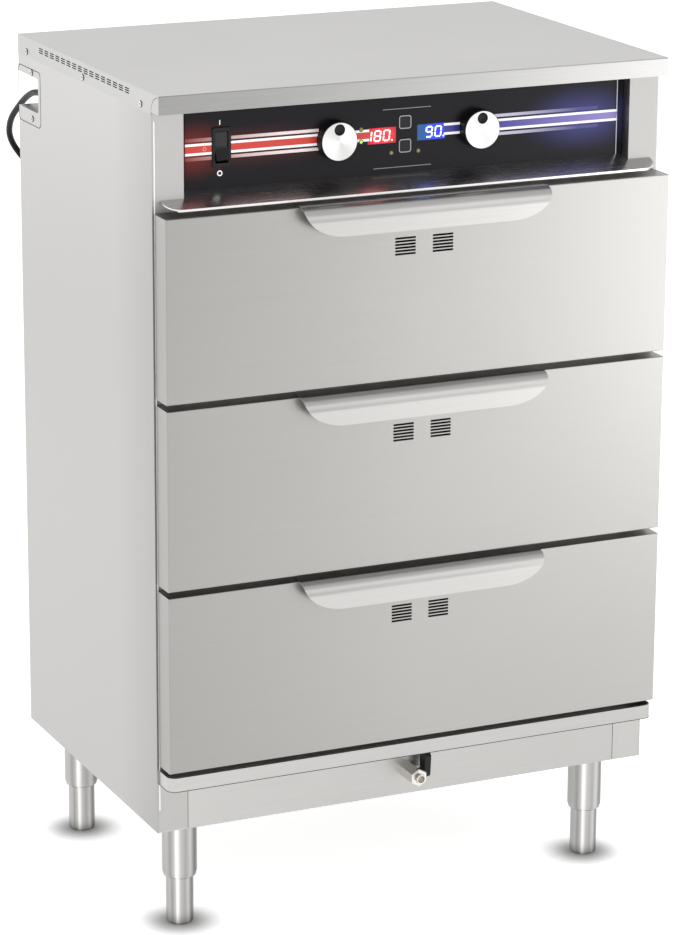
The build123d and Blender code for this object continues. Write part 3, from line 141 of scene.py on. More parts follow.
def add_cord():
    """The cord as one round curve from its gland to its plug."""
    curve = bpy.data.curves.new("power_cord_run", "CURVE")
    curve.dimensions = "3D"
    curve.bevel_depth = CORD_DIAMETER / 2 * MM
    curve.bevel_resolution = 5
    curve.use_fill_caps = True
    points = cord_points()
    spline = curve.splines.new("NURBS")
    spline.points.add(len(points) - 1)
    for point, place in zip(spline.points, points):
        point.co = (*[value * MM for value in place], 1)
    spline.order_u = 3
    spline.use_endpoint_u = True
    spline.resolution_u = 6
    cord = bpy.data.objects.new("power_cord_run", curve)
    scene.collection.objects.link(cord)
    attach(cord, "cabinet")
    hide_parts("power_cord", "cord_coil")
    return cord


cord = add_cord()


# ---------------------------------------------------------------- shader nodes
def feed(tree, socket, value):
    """Link a socket to another one, or set it to a plain value."""
    if isinstance(value, bpy.types.NodeSocket):
        tree.links.new(value, socket)
    else:
        socket.default_value = value


def coordinate(tree, axis, kind="Object"):
    """One part of the object coordinates in metres, or of the object's normal."""
    place = tree.nodes.new("ShaderNodeTexCoord")
    split = tree.nodes.new("ShaderNodeSeparateXYZ")
    tree.links.new(place.outputs[kind], split.inputs[0])
    return split.outputs[axis]


def calculate(tree, operation, *values):
    node = tree.nodes.new("ShaderNodeMath")
    node.operation = operation
    for socket, value in zip(node.inputs, values):
        feed(tree, socket, value)
    return node.outputs[0]


def rescale(tree, value, start=0.0, end=1.0, low=0.0, high=1.0, smooth=False):
    """A value that runs from start to end, made to run from low to high."""
    node = tree.nodes.new("ShaderNodeMapRange")
    if smooth:
        node.interpolation_type = "SMOOTHSTEP"
    limits = {"From Min": start, "From Max": end, "To Min": low, "To Max": high}
    for name, limit in limits.items():
        node.inputs[name].default_value = limit
    tree.links.new(value, node.inputs["Value"])
    return node.outputs["Result"]


def ramp(tree, factor, low, high, start=0.3, end=0.7):
    """A colour from low at start to high at end."""
    node = tree.nodes.new("ShaderNodeValToRGB")
    node.color_ramp.elements[0].position = start
    node.color_ramp.elements[0].color = (*low, 1)
    node.color_ramp.elements[1].position = end
    node.color_ramp.elements[1].color = (*high, 1)
    tree.links.new(factor, node.inputs["Fac"])
    return node.outputs["Color"]


def mix_colour(tree, factor, first, second, blend="MIX"):
    """The second colour laid over the first by a factor."""
    node = tree.nodes.new("ShaderNodeMix")
    node.data_type = "RGBA"
    node.blend_type = blend
    feed(tree, node.inputs["Factor"], factor)
    for name, colour in (("A", first), ("B", second)):
        feed(tree, node.inputs[name], (*colour, 1) if isinstance(colour, tuple) else colour)
    return node.outputs["Result"]


def object_noise(tree, scale, detail=3.0, stretch=(1, 1, 1)):
    """Noise in object space; a small stretch along an axis draws the grain out along it."""
    place = tree.nodes.new("ShaderNodeTexCoord")
    mapping = tree.nodes.new("ShaderNodeMapping")
    mapping.inputs["Scale"].default_value = stretch
    noise = tree.nodes.new("ShaderNodeTexNoise")
    noise.inputs["Scale"].default_value = scale
    noise.inputs["Detail"].default_value = detail
    tree.links.new(place.outputs["Object"], mapping.inputs["Vector"])
    tree.links.new(mapping.outputs["Vector"], noise.inputs["Vector"])
    return noise.outputs["Fac"]


def grain_stretch(axis, along=0.008):
    return tuple(along if letter == axis else 1.0 for letter in "XYZ")


def bump(tree, shader, height, strength, distance):
    node = tree.nodes.new("ShaderNodeBump")
    node.inputs["Strength"].default_value = strength
    node.inputs["Distance"].default_value = distance
    tree.links.new(height, node.inputs["Height"])
    tree.links.new(node.outputs["Normal"], shader.inputs["Normal"])


def glow_amount(tree, centre, reach):
    """1 at a place on the panel, in millimetres, falling smoothly to 0 at its reach."""
    place = tree.nodes.new("ShaderNodeTexCoord")
    mapping = tree.nodes.new("ShaderNodeMapping")
    across, up = (1 / (value * MM) for value in reach)
    mapping.inputs["Scale"].default_value = (across, 0, up)
    mapping.inputs["Location"].default_value = (-centre[0] / reach[0], 0, -centre[1] / reach[1])
    length = tree.nodes.new("ShaderNodeVectorMath")
    length.operation = "LENGTH"
    tree.links.new(place.outputs["Object"], mapping.inputs["Vector"])
    tree.links.new(mapping.outputs["Vector"], length.inputs[0])
    return rescale(tree, length.outputs["Value"], 1.0, 0.0, smooth=True)


def axis_tone(tree, axis, start, end, tones):
    """Grey that changes along one axis of object space, from a start to an end in millimetres."""
    part = rescale(tree, coordinate(tree, axis), start * MM, end * MM)
    low, high = ((tone, tone, tone) for tone in tones)
    return ramp(tree, part, low, high, 0.0, 1.0)


def facing_away(tree, axis):
    """0 to 1 as a face turns to look against an axis of object space."""
    return rescale(tree, coordinate(tree, axis, "Normal"), -0.3, -0.8)


# ---------------------------------------------------------------- materials
STEEL = (0.56, 0.553, 0.54)


def new_material(name, colour, roughness, metallic=0.0):
    material = bpy.data.materials.new(name)
    material.use_nodes = True
    shader = material.node_tree.nodes["Principled BSDF"]
    shader.inputs["Base Color"].default_value = (*colour, 1)
    shader.inputs["Roughness"].default_value = roughness
    shader.inputs["Metallic"].default_value = metallic
    return material, material.node_tree, shader


def brushed_metal(name, colour, roughness, axis, contrast=0.05):
    """Sheet with fine parallel grain along one axis and faint cloudiness."""
    grain_share, cloud_share, spread = 0.65, 0.35, 0.06
    material, tree, shader = new_material(name, colour, roughness, 1.0)
    grain = object_noise(tree, 900, 2.0, grain_stretch(axis))
    cloud = object_noise(tree, 5)
    part = calculate(tree, "MULTIPLY", grain, grain_share)
    mixed = calculate(tree, "MULTIPLY_ADD", cloud, cloud_share, part)
    dark = tuple(value * (1 - contrast) for value in colour)
    light = tuple(min(value * (1 + contrast), 1) for value in colour)
    tree.links.new(ramp(tree, mixed, dark, light), shader.inputs["Base Color"])
    tree.links.new(rescale(tree, mixed, low=roughness - spread, high=roughness + spread),
                   shader.inputs["Roughness"])
    bump(tree, shader, grain, 0.12, 0.00006)
    return material


def paint_shade(material, tone, where=1.0):
    """Paint shade into a material's colour: multiply it by a tone along an axis, everywhere or
    where it says.
    """
    tree = material.node_tree
    colour = tree.nodes["Principled BSDF"].inputs["Base Color"]
    source = colour.links[0].from_socket
    tree.links.new(mix_colour(tree, where, source, axis_tone(tree, *tone), "MULTIPLY"), colour)
    return material


def post_material():
    """Corner posts, with painted shade that darkens them towards the right above the skirt."""
    material = brushed_metal("post_steel", tuple(value * 0.82 for value in STEEL), 0.38, "Z", 0.03)
    above = axis_tone(material.node_tree, "Z", BASE_Z + 80, BASE_Z + 120, (0.0, 1.0))
    return paint_shade(material, ("X", -HALF, HALF, (1.0, 0.74)), above)


def cover_material():
    """The top cover: a pale top, with painted shade on its left flange and on its front lip, which
    is darkest at its left.
    """
    material = brushed_metal("top_steel", (0.62, 0.615, 0.605), 0.34, "X")
    for axis, tones in (("X", (0.66, 0.7)), ("Y", (0.5, 0.74))):
        paint_shade(material, ("X", -HALF, HALF, tones), facing_away(material.node_tree, axis))
    return material


def moulded_plastic(name, colour, roughness, scale=700, shine=0.22):
    """Plastic or rubber with a fine moulded texture."""
    material, tree, shader = new_material(name, colour, roughness)
    shader.inputs["Specular IOR Level"].default_value = shine
    speck = object_noise(tree, scale)
    dark = tuple(value * 0.8 for value in colour)
    light = tuple(value * 1.25 + 0.002 for value in colour)
    tree.links.new(ramp(tree, speck, dark, light), shader.inputs["Base Color"])
    tree.links.new(rescale(tree, speck, low=roughness - 0.05, high=roughness + 0.08),
                   shader.inputs["Roughness"])
    bump(tree, shader, speck, 0.12, 0.0001)
    return material


def lit_material(name, colour, strength, roughness=0.3):
    """Print or a lit bar that gives off a little light."""
    material, tree, shader = new_material(name, colour, roughness)
    shader.inputs["Emission Color"].default_value = (*colour, 1)
    shader.inputs["Emission Strength"].default_value = strength
    speck = object_noise(tree, 300, 2.0)
    tree.links.new(rescale(tree, speck, low=roughness - 0.04, high=roughness + 0.04),
                   shader.inputs["Roughness"])
    return material


def fading_print(name, first, second, start, end):
    """A stripe's colour that changes along the panel from one end to the other."""
    material, tree, shader = new_material(name, first, 0.4)
    along = rescale(tree, coordinate(tree, "X"), start * MM, end * MM)
    tree.links.new(ramp(tree, along, first, second, 0.0, 1.0), shader.inputs["Base Color"])
    return material


def overlay_material():
    """The printed black overlay, with red at its left end and blue at its right end."""
    material, tree, shader = new_material("printed_overlay", (0.03, 0.028, 0.032), 0.3)
    shader.inputs["Specular IOR Level"].default_value = 0.16
    speck = object_noise(tree, 1500, 2.0)
    base = ramp(tree, speck, (0.0065, 0.0052, 0.0075), (0.0105, 0.0088, 0.012))
    glows = (
        ((-304, CONTROL_Z + 1), (66, 46), (0.2, 0.022, 0.02)),
        ((-215, CONTROL_Z + 1), (150, 34), (0.07, 0.018, 0.02)),
        ((262, CONTROL_Z + 2), (105, 52), (0.06, 0.06, 0.22)),
    )
    for centre, reach, colour in glows:
        base = mix_colour(tree, glow_amount(tree, centre, reach), base, colour)
    tree.links.new(base, shader.inputs["Base Color"])
    bump(tree, shader, speck, 0.05, 0.00005)
    return material


# Tones round a leg: places from 0 to 1 over the full turn, starting at its left.
LEG_TONES = (
    (0.0, 0.40), (0.06, 0.46), (0.10, 0.32), (0.137, 0.5), (0.16, 1.0), (0.175, 0.85),
    (0.2, 0.5), (0.25, 0.38), (0.295, 0.55), (0.345, 0.2), (0.43, 0.25), (0.5, 0.48),
    (0.6, 0.36), (0.66, 0.95), (0.7, 0.42), (0.8, 0.55), (0.9, 0.3), (1.0, 0.4),
)


def polished_leg(name):
    """Polished tube: tones that change round the axis like the reflections of a studio."""
    material, tree, shader = new_material(name, (0.5, 0.5, 0.48), 0.24, 1.0)
    from_axis = []
    for axis, first, spacing in (("X", -LEG_X, 2 * LEG_X), ("Y", LEG_FRONT_Y, LEG_SPACING_Y)):
        shift = calculate(tree, "SUBTRACT", coordinate(tree, axis), first * MM)
        reach = spacing / 2 * MM
        from_axis.append(calculate(tree, "WRAP", shift, reach, -reach))
    across, along = from_axis
    angle = calculate(tree, "ARCTAN2", along, across)
    node = tree.nodes.new("ShaderNodeValToRGB")
    tree.links.new(rescale(tree, angle, -pi, pi), node.inputs["Fac"])
    stops = node.color_ramp.elements
    for position, tone in LEG_TONES:
        if 0 < position < 1:
            stop = stops.new(position)
        else:
            stop = stops[0] if position == 0 else stops[len(stops) - 1]
        stop.color = (tone, tone * 0.985, tone * 0.965, 1)
    grain = object_noise(tree, 900, 2.0, grain_stretch("Z", 0.02))
    streaks = ramp(tree, grain, (0.9, 0.9, 0.9), (1, 1, 1))
    tree.links.new(mix_colour(tree, 1.0, node.outputs["Color"], streaks, "MULTIPLY"),
                   shader.inputs["Base Color"])
    tree.links.new(rescale(tree, grain, low=0.2, high=0.3), shader.inputs["Roughness"])
    return material


def spun_cap(name, x):
    """A spun disc: two soft opposite sectors of light, with a fine speckle."""
    material, tree, shader = new_material(name, (0.86, 0.86, 0.85), 0.32, 1.0)
    across = calculate(tree, "SUBTRACT", coordinate(tree, "X"), x * MM)
    up = calculate(tree, "SUBTRACT", coordinate(tree, "Z"), CONTROL_Z * MM)
    angle = calculate(tree, "ARCTAN2", up, across)
    sectors, turned = 2.0, 0.6
    wave = calculate(tree, "SINE", calculate(tree, "MULTIPLY_ADD", angle, sectors, turned))
    sector = rescale(tree, wave, -1.0, 1.0)
    speck = object_noise(tree, 2500, 2.0)
    mixed = calculate(tree, "MULTIPLY_ADD", speck, 0.35, sector)
    tree.links.new(ramp(tree, mixed, (0.56, 0.56, 0.555), (0.74, 0.74, 0.735), 0.1, 8 / 9),
                   shader.inputs["Base Color"])
    bump(tree, shader, speck, 0.06, 0.00004)
    return material


def lamp_material():
    """Dim amber lamps, of which the lower left one is lit green."""
    material, tree, shader = new_material("lamp_lens", (0.2, 0.17, 0.04), 0.3)
    speck = object_noise(tree, 900, 2.0)
    dim = ramp(tree, speck, (0.16, 0.135, 0.045), (0.26, 0.22, 0.08))
    colour = mix_colour(tree, glow_amount(tree, LIT_LAMP, (4.5, 4.5)), dim, (0.5, 1.0, 0.12))
    tree.links.new(colour, shader.inputs["Base Color"])
    tree.links.new(colour, shader.inputs["Emission Color"])
    shader.inputs["Emission Strength"].default_value = 0.5
    return material


def rocker_material():
    """Black gloss plastic whose upper half catches a little more light."""
    material, tree, shader = new_material("rocker_plastic", (0.01, 0.01, 0.012), 0.22)
    shader.inputs["Specular IOR Level"].default_value = 0.25
    height = rescale(tree, coordinate(tree, "Z"), CONTROL_Z * MM, (CONTROL_Z + 5) * MM)
    tree.links.new(ramp(tree, height, (0.002, 0.002, 0.003), (0.028, 0.03, 0.034), 0.0, 1.0),
                   shader.inputs["Base Color"])
    return material


def window_material(name, colour, dim, centre, reach):
    """A window over lit digits: brightest at its middle, dim towards its ends."""
    material, tree, shader = new_material(name, dim, 0.16)
    lit = mix_colour(tree, glow_amount(tree, centre, reach), dim, colour)
    tree.links.new(lit, shader.inputs["Base Color"])
    tree.links.new(lit, shader.inputs["Emission Color"])
    shader.inputs["Emission Strength"].default_value = 1.0
    return material


# Painted shade: the fronts' steel grows darker towards the right.
front_steel = paint_shade(brushed_metal("front_steel", STEEL, 0.34, "X"),
                        ("X", -HALF, HALF, (0.92, 0.78)))
# Painted shade: the drawers' steel is darker towards the left, up to the middle.
drawer_steel = paint_shade(brushed_metal("drawer_steel", (0.41, 0.402, 0.389), 0.32, "X", 0.025),
                         ("X", -HALF, 0, (0.84, 0.98)))
# Painted shade: the side steel is darkest near its front edge.
side_steel = paint_shade(brushed_metal("side_steel", STEEL, 0.38, "Z", 0.03),
                       ("Y", FACE_Y, FACE_Y + 130, (0.7, 0.82)))
inner_steel = brushed_metal("inner_steel", (0.55, 0.55, 0.54), 0.4, "X")
screw_metal = brushed_metal("screw_metal", (0.62, 0.61, 0.6), 0.25, "Y")
leg_steel = polished_leg("leg_steel")
black_plastic = moulded_plastic("black_plastic", (0.012, 0.012, 0.013), 0.42)
key_plastic = moulded_plastic("key_plastic", (0.014, 0.013, 0.016), 0.36)
dark_enamel = moulded_plastic("dark_enamel", (0.03, 0.03, 0.03), 0.35)

node_materials = {
    "top_cover": cover_material(),
    "left_side_panel": side_steel,
    "right_side_panel": side_steel,
    "back_panel": side_steel,
    "cord_recess": side_steel,
    "front_posts": post_material(),
    "base_pan": front_steel,
    "cross_rails": front_steel,
    "drip_trough": front_steel,
    "drip_ledge": brushed_metal("ledge_steel", (0.72, 0.71, 0.7), 0.26, "X"),
    "leg_sockets": leg_steel,
    "panel_screws": screw_metal,
    "valve_body": brushed_metal("valve_metal", (0.72, 0.7, 0.66), 0.16, "Y", 0.08),
    "valve_lever": black_plastic,
    "control_panel": overlay_material(),
    "temperature_display": window_material("red_window", (0.8, 0.012, 0.03), (0.22, 0.006, 0.012),
                                           (-36, CONTROL_Z), (30, 20)),
    "humidity_display": window_material("blue_window", (0.012, 0.008, 0.85), (0.004, 0.05, 0.17),
                                        (45, CONTROL_Z), (24, 22)),
    "indicator_lamps": lamp_material(),
    "upper_key": key_plastic,
    "lower_key": key_plastic,
    "switch_bezel": black_plastic,
    "switch_rocker": rocker_material(),
    "control_board": moulded_plastic("board_green", (0.02, 0.1, 0.04), 0.4),
    "cord_gland": black_plastic,
    "power_plug": black_plastic,
    "drawer_gaskets": moulded_plastic("gasket_rubber", (0.02, 0.02, 0.02), 0.6),
    "insulation": moulded_plastic("wool_slab", (0.6, 0.55, 0.4), 0.95, 120),
    "fan_motor": dark_enamel,
    "heating_element": dark_enamel,
}
ending_materials = {
    "knob": black_plastic,
    "foot": leg_steel,
    "front": drawer_steel,
    "handle": brushed_metal("handle_steel", (0.51, 0.5, 0.488), 0.3, "X", 0.03),
}


def material_for(name):
    """The finish of a node: its own, or that of its kind, or plain inner sheet."""
    if name in node_materials:
        return node_materials[name]
    if name.endswith("knob_cap"):
        return spun_cap(name, -KNOB_X if name.startswith("temperature") else KNOB_X)
    for ending, material in ending_materials.items():
        if name.endswith(ending):
            return material
    return inner_steel


for node_name, node in nodes.items():
    node_material = material_for(node_name)
    node.data.materials.clear()
    node.data.materials.append(node_material)
cord_rubber = moulded_plastic("cord_rubber", (0.006, 0.006, 0.006), 0.34, shine=0.16)
cord.data.materials.append(cord_rubber)


# ---------------------------------------------------------------- flat pieces
def deselect():
    if bpy.context.object and bpy.context.object.mode != "OBJECT":
        bpy.ops.object.mode_set(mode="OBJECT")
    bpy.ops.object.select_all(action="DESELECT")


def finish_piece(name, body, material):
    """Name the active object, fix its place in its mesh and let it ride on its body."""
    piece = bpy.context.active_object
    bpy.ops.object.transform_apply(location=True, rotation=True, scale=True)
    piece.name = name
    piece.data.materials.clear()
    piece.data.materials.append(material)
    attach(piece, body)
    return piece


def thicken(pieces, name, material, thickness=0.12, body="cabinet"):
    """Join flat pieces and give them a thin even depth."""
    deselect()
    for piece in pieces:
        piece.select_set(True)
    bpy.context.view_layer.objects.active = pieces[0]
    if len(pieces) > 1:
        bpy.ops.object.join()
    layer = bpy.context.active_object.modifiers.new("layer", "SOLIDIFY")
    layer.thickness = thickness * MM
    layer.offset = 0
    bpy.ops.object.modifier_apply(modifier=layer.name)
    return finish_piece(name, body, material)


def add_plate(x, z, width, height, y, lean=0.0):
    """A plate that faces the front, its size set in edit mode, and its top drawn right by lean."""
    bpy.ops.mesh.primitive_plane_add(size=1, location=(x * MM, y * MM, z * MM), rotation=FRONT)
    plate = bpy.context.active_object
    bpy.ops.object.mode_set(mode="EDIT")
    bpy.ops.mesh.select_all(action="SELECT")
    bpy.ops.transform.resize(value=(width * MM, 1, height * MM))
    bpy.ops.object.mode_set(mode="OBJECT")
    if lean:
        for vertex in plate.data.vertices:
            vertex.co.x += lean * vertex.co.y / height
    return plate


def printed_marks(name, plates, material, y=OVERLAY_Y, thickness=0.12):
    """Flat marks, each (x, z, width, height) and perhaps a lean, joined into one thin layer."""
    deselect()
    made = [add_plate(*plate[:4], y - thickness / 2, *plate[4:]) for plate in plates]
    return thicken(made, name, material, thickness)


def flat_shape(place, width, height, facing, disc=False):
    """A flat rectangle or ellipse, left as the active object."""
    deselect()
    where = [value * MM for value in place]
    if disc:
        bpy.ops.mesh.primitive_circle_add(vertices=28, radius=0.5, fill_type="NGON",
                                          location=where, rotation=facing)
    else:
        bpy.ops.mesh.primitive_plane_add(size=1, location=where, rotation=facing)
    piece = bpy.context.active_object
    piece.scale = (width * MM, height * MM, 1)
    bpy.ops.object.transform_apply(location=False, rotation=False, scale=True)
    return piece


def hollow(line):
    """Leave only a band of one width along the active shape's outline, then leave edit mode."""
    bpy.ops.mesh.select_all(action="SELECT")
    bpy.ops.mesh.inset(thickness=line * MM)
    bpy.ops.mesh.delete(type="FACE")
    bpy.ops.object.mode_set(mode="OBJECT")


def outline(place, width, height, line, corner, facing=FRONT):
    """A flat frame with rounded corners, or a ring if corner is 0, from an inset face."""
    piece = flat_shape(place, width, height, facing, disc=not corner)
    bpy.ops.object.mode_set(mode="EDIT")
    if corner:
        bpy.ops.mesh.select_all(action="SELECT")
        bpy.ops.mesh.bevel(offset=corner * MM, segments=5, affect="VERTICES")
    hollow(line)
    return piece


# ---------------------------------------------------------------- printed marks
white_print = lit_material("white_print", (0.85, 0.84, 0.86), 0.3, 0.4)
pale_print = lit_material("pale_print", (0.36, 0.34, 0.37), 0.1, 0.4)
dark_line = moulded_plastic("dark_line", (0.035, 0.034, 0.033), 0.6)


def bands(spans, rises, width):
    """Level plates, one for each span of x and each rise over the stripe's middle."""
    return [((start + end) / 2, STRIPE_Z + rise, end - start, width)
            for start, end in spans for rise in rises]


def add_stripes():
    """The red stripe left of the windows, the blue one right of them, and the lines along both."""
    window_edge = 54.5                      # the stripes stop at the windows
    knob_inner, knob_outer = 78.0, 127.0    # and run in under the knobs
    switch_left, switch_right = -278.0, -251.0
    outer_blue_end = 285
    inner, outer = (-6.1, 6.1), (-12.3, 12.3)   # rises of the white lines and the outer stripes
    white_width, colour_width = 3.3, 8.7
    outer_width, outer_end_width = 4.2, 4.6
    left_end = (-OVERLAY_HALF, switch_left)
    left_run = (switch_right, -knob_outer)
    red_spans = (left_end, left_run, (-knob_inner, -window_edge))
    blue_spans = ((window_edge, knob_inner), (knob_outer, OVERLAY_HALF))
    printed_marks("white_stripes", bands(red_spans + blue_spans, inner, white_width), white_print)
    printed_marks("red_stripes", bands(red_spans, (0,), colour_width),
                  lit_material("red_print", (0.62, 0.04, 0.025), 0.1, 0.4))
    printed_marks("blue_stripes", bands(blue_spans, (0,), colour_width),
                  fading_print("blue_fade", (0.03, 0.03, 0.3), (0.3, 0.24, 0.6), 120, OVERLAY_HALF))
    outer_red = bands((left_run,), outer, outer_width) + bands((left_end,), outer, outer_end_width)
    printed_marks("outer_red_stripes", outer_red,
                  fading_print("outer_red_fade", (0.3, 0.03, 0.02), (0.95, 0.8, 0.78),
                               -OVERLAY_HALF, -knob_outer - 55))
    outer_blue = bands(((knob_outer, outer_blue_end),), outer, outer_width)
    printed_marks("outer_blue_stripes", outer_blue,
                  fading_print("outer_blue_fade", (0.7, 0.66, 0.8), (0.055, 0.055, 0.24),
                               knob_outer, outer_blue_end - 30))


def add_thin_lines():
    """The thin grey lines over and under the windows."""
    line = 0.9
    over, under = (0, BASE_Z + 955, 70, line), (-6, BASE_Z + 877.4, 84, line)
    printed_marks("thin_lines", [over, under],
                  lit_material("grey_print", (0.3, 0.29, 0.31), 0.0, 0.4))


def add_switch_marks():
    """The line over the switch, the ring under it and the small ring in the red stripe."""
    layer = 0.12
    y = OVERLAY_Y - layer / 2
    ring_size, ring_line, small_size, small_line = 7.6, 1.5, 5.2, 0.7
    line = add_plate(-266.5, BASE_Z + 956, 1.3, 6.2, y)
    ring = outline((-266.8, y, BASE_Z + 889.6), ring_size, ring_size, ring_line, 0)
    thicken([line, ring], "switch_marks", white_print)
    small = outline((-288, y - layer, BASE_Z + 922.8), small_size, small_size, small_line, 0)
    thicken([small], "stripe_ring", lit_material("pale_red", (0.85, 0.45, 0.42), 0.1, 0.4))


def add_key_outlines():
    """A pale rounded frame printed on each key, which moves with it."""
    x, y, size, line, corner = -2.5, OVERLAY_Y - 0.75, 17.8, 1.25, 3.6
    for name, rise in (("upper_key", 15.8), ("lower_key", -15.8)):
        border = outline((x, y, CONTROL_Z + rise), size, size, line, corner)
        thicken([border], name + "_frame", pale_print, body=name)


def add_lamp_rims():
    """A dark olive rim round each lamp."""
    y, size, line = OVERLAY_Y - 0.1, 6.6, 0.85
    rims = [outline((x, y, z), size, size, line, 0) for x, z in (*DIM_LAMPS, LIT_LAMP)]
    thicken(rims, "lamp_rims", moulded_plastic("lamp_rim", (0.05, 0.045, 0.02), 0.4), 0.2)


def add_pale_edges():
    """The overlay's cut right end, the ledge's tabs at its foot and a painted highlight along the
    left post's edge.
    """
    overlay_end = (OVERLAY_HALF - 0.7, BASE_Z + 922, 1.1, 107)
    printed_marks("overlay_edge", [overlay_end],
                  lit_material("edge_print", (0.75, 0.75, 0.78), 0.1, 0.4))
    tab_z, tab_height = BASE_Z + 868.9, 1.3
    tabs = [(x, tab_z, width, tab_height) for x, width in ((89.5, 27), (267, 26), (-150, 27))]
    printed_marks("ledge_tabs", tabs, screw_metal, thickness=0.3)
    # Painted highlight: a glowing pale strip along the left post's outer edge.
    post_edge = (-HALF + 3.4, BASE_Z + 500, 1.3, 935)
    printed_marks("post_edge_painted_highlight", [post_edge], lit_material("edge_shine", (0.9, 0.9, 0.89), 0.2),
                  y=FACE_Y)


add_stripes()
add_thin_lines()
add_switch_marks()
add_key_outlines()
add_lamp_rims()
add_pale_edges()


# ---------------------------------------------------------------- screws, seams and painted shade
def add_screw_details():
    """Painted shade in the cross slots of the screws' heads, and a painted shadow line round each
    head.
    """
    flange_z, inset, recess_y = TOP_Z - 19.5, 35.5, BACK_Y - 54.0
    flange_places = (FACE_Y + inset, FACE_Y + 243.0, BACK_Y - inset)
    ring_size, ring_line, slot_length, slot_width = 9.2, 1.0, 4.2, 0.9
    places = [(side, y, flange_z) for side in (-1, 1) for y in flange_places]
    places += [(-1, recess_y, BASE_Z + rise) for rise in (958.0, 894.0)]
    rings = []
    slots = []
    for side, y, z in places:
        facing = LEFT if side < 0 else RIGHT
        ring_place = (side * (HALF + 0.1), y, z)
        rings.append(outline(ring_place, ring_size, ring_size, ring_line, 0, facing))
        for width, height in ((slot_length, slot_width), (slot_width, slot_length)):
            slots.append(flat_shape((side * (HALF + 1.25), y, z), width, height, facing))
    thicken(rings, "screw_shadow_lines", dark_line, 0.15)
    # Dark plates laid in the slots: painted shade in their recesses.
    thicken(slots, "screw_slot_shade", dark_line, 0.1)


def add_trough_shade_line():
    """A dark line of painted shade under the trough's rounded lower edge, round at its two front
    corners.
    """
    width, depth, corner, line = 731.6, 38.6, 12.3, 1.2
    edge = flat_shape((0, FACE_Y - 19, BASE_Z + 70.1), width, depth, (0, 0, 0))
    bpy.ops.object.mode_set(mode="EDIT")
    bpy.ops.mesh.select_all(action="DESELECT")
    bpy.ops.object.mode_set(mode="OBJECT")
    for vertex in edge.data.vertices:
        vertex.select = vertex.co.y < 0
    bpy.ops.object.mode_set(mode="EDIT")
    bpy.ops.mesh.bevel(offset=corner * MM, segments=6, affect="VERTICES")
    hollow(line)
    thicken([edge], "trough_edge_painted_shade", dark_line, 0.7)


def add_seams():
    """Thin dark joints of the skirt at the posts, and lines of painted shade under the trough's
    lower edge and round the recess's rim.
    """
    skirt = [(side * POST_INNER, BASE_Z + 35, 0.7, 68) for side in (-1, 1)]
    printed_marks("skirt_seams", skirt, dark_line, y=FACE_Y)
    add_trough_shade_line()
    # Painted shade: a thin dark line round the recess's rim.
    rim = outline((-HALF - 0.1, BACK_Y - 43.6, BASE_Z + 924), 87.4, 78.2, 0.8, 8.0, LEFT)
    thicken([rim], "recess_rim_painted_shade", dark_line, 0.2)


add_screw_details()
add_seams()


# ---------------------------------------------------------------- lit digits
# Bars of a seven-segment digit: a, g and d lie flat, from the top down; b and c stand at the
# right, f and e at the left.
SEGMENTS = {"0": "abcdef", "1": "bc", "8": "abcdefg", "9": "abcdfg"}


def digit_plates(text, x, z):
    """The lit bars of seven-segment digits, with a point after the last one."""
    width, height, line, lean, pitch = 8.4, 13.4, 2.0, 1.2, 13.2
    point_gap = 3.6
    flat_bars = {"a": height / 2, "g": 0, "d": -height / 2}
    upright_bars = {
        "b": (width / 2, height / 4), "c": (width / 2, -height / 4),
        "e": (-width / 2, -height / 4), "f": (-width / 2, height / 4),
    }
    plates = []
    for index, digit in enumerate(text):
        middle = x + index * pitch
        for letter in SEGMENTS[digit]:
            if letter in flat_bars:
                up = flat_bars[letter]
                plates.append((middle + lean * up / height, z + up, width - line * 0.9, line))
            else:
                across, up = upright_bars[letter]
                plates.append((middle + across + lean * up / height, z + up,
                               line, height / 2 - line * 0.6, lean / 2))
    last = x + (len(text) - 1) * pitch
    plates.append((last + width / 2 + point_gap, z - height / 2, line, line))
    return plates


def add_digits():
    """The numbers that the two windows show."""
    printed_marks("temperature_digits", digit_plates("180", -55.6, CONTROL_Z),
                  lit_material("red_digits", (1.0, 0.55, 0.5), 2.2))
    printed_marks("humidity_digits", digit_plates("90", 32.9, CONTROL_Z),
                  lit_material("blue_digits", (0.5, 0.6, 1.0), 2.2))


add_digits()


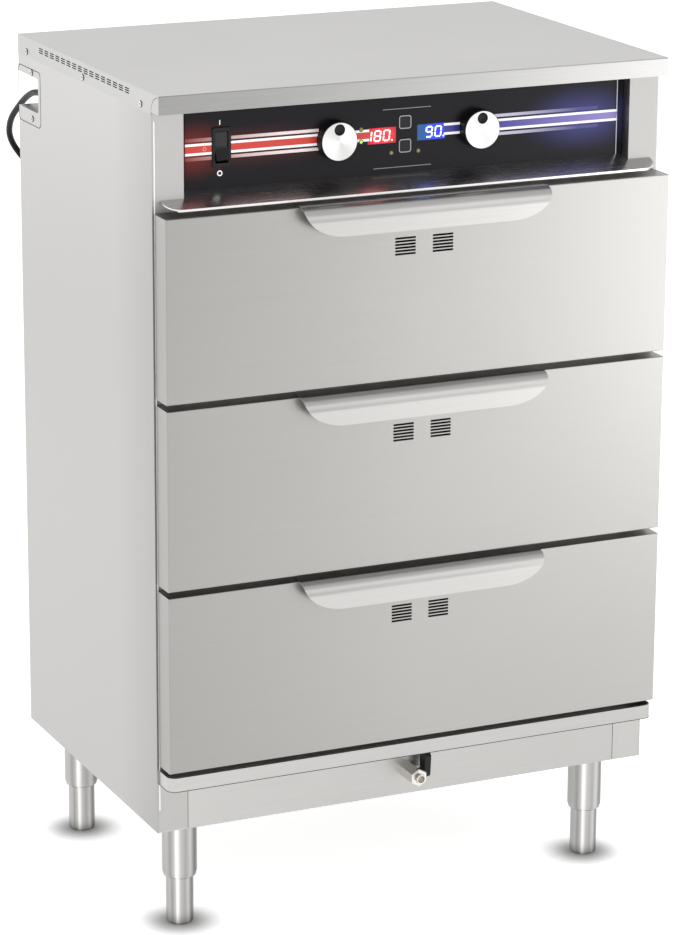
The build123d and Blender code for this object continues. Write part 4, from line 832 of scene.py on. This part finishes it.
# ---------------------------------------------------------------- floor and light
def add_floor():
    """A plain pale floor with soft shade close round the four feet."""
    shade_start, shade_end = 10.0, 70.0     # from a foot's axis
    deselect()
    bpy.ops.mesh.primitive_plane_add(size=60, location=(0, 0, -0.0002))
    floor = bpy.context.active_object
    floor.name = "floor"
    material, tree, shader = new_material("pale_floor", (0.93, 0.93, 0.93), 0.9)
    shader.inputs["Specular IOR Level"].default_value = 0.1
    combine = tree.nodes.new("ShaderNodeCombineXYZ")
    half_y = LEG_SPACING_Y / 2
    for axis, middle, half in (("X", 0.0, LEG_X), ("Y", LEG_FRONT_Y + half_y, half_y)):
        from_middle = calculate(tree, "SUBTRACT", coordinate(tree, axis), middle * MM)
        from_foot = calculate(tree, "SUBTRACT", calculate(tree, "ABSOLUTE", from_middle), half * MM)
        tree.links.new(from_foot, combine.inputs[axis])
    length = tree.nodes.new("ShaderNodeVectorMath")
    length.operation = "LENGTH"
    tree.links.new(combine.outputs[0], length.inputs[0])
    near = rescale(tree, length.outputs["Value"], shade_start * MM, shade_end * MM, smooth=True)
    shade = ramp(tree, near, (0.22, 0.22, 0.22), (0.93, 0.93, 0.93), 0.0, 1.0)
    tree.links.new(shade, shader.inputs["Base Color"])
    tree.links.new(shade, shader.inputs["Emission Color"])
    shader.inputs["Emission Strength"].default_value = 0.58
    floor.data.materials.append(material)


def add_softbox(name, place, target, size, power):
    bpy.ops.object.light_add(type="AREA", location=place)
    light = bpy.context.active_object
    light.name = name
    light.data.shape = "RECTANGLE"
    light.data.size, light.data.size_y = size
    light.data.energy = power
    direction = Vector(target) - Vector(place)
    light.rotation_euler = direction.to_track_quat("-Z", "Y").to_euler()


def add_light():
    """Even white surroundings and four soft boxes."""
    world = bpy.data.worlds.new("studio")
    scene.world = world
    world.use_nodes = True
    background = world.node_tree.nodes["Background"]
    background.inputs["Color"].default_value = (1, 1, 1, 1)
    background.inputs["Strength"].default_value = 0.8
    add_softbox("key_light", (2.6, -3.4, 3.0), (0, 0, 0.6), (2.4, 2.4), 14)
    add_softbox("front_light", (1.75, -2.0, 0.55), (0.2, 0, 0.6), (0.9, 1.3), 7.5)
    add_softbox("fill_light", (-1.9, 2.4, 1.0), (-0.37, 0, 0.9), (1.0, 1.0), 3)
    add_softbox("top_light", (0.6, 1.6, 3.0), (0, 0, 1.0), (3.2, 2.4), 8)


add_floor()
add_light()
scene.view_settings.view_transform = "Standard"
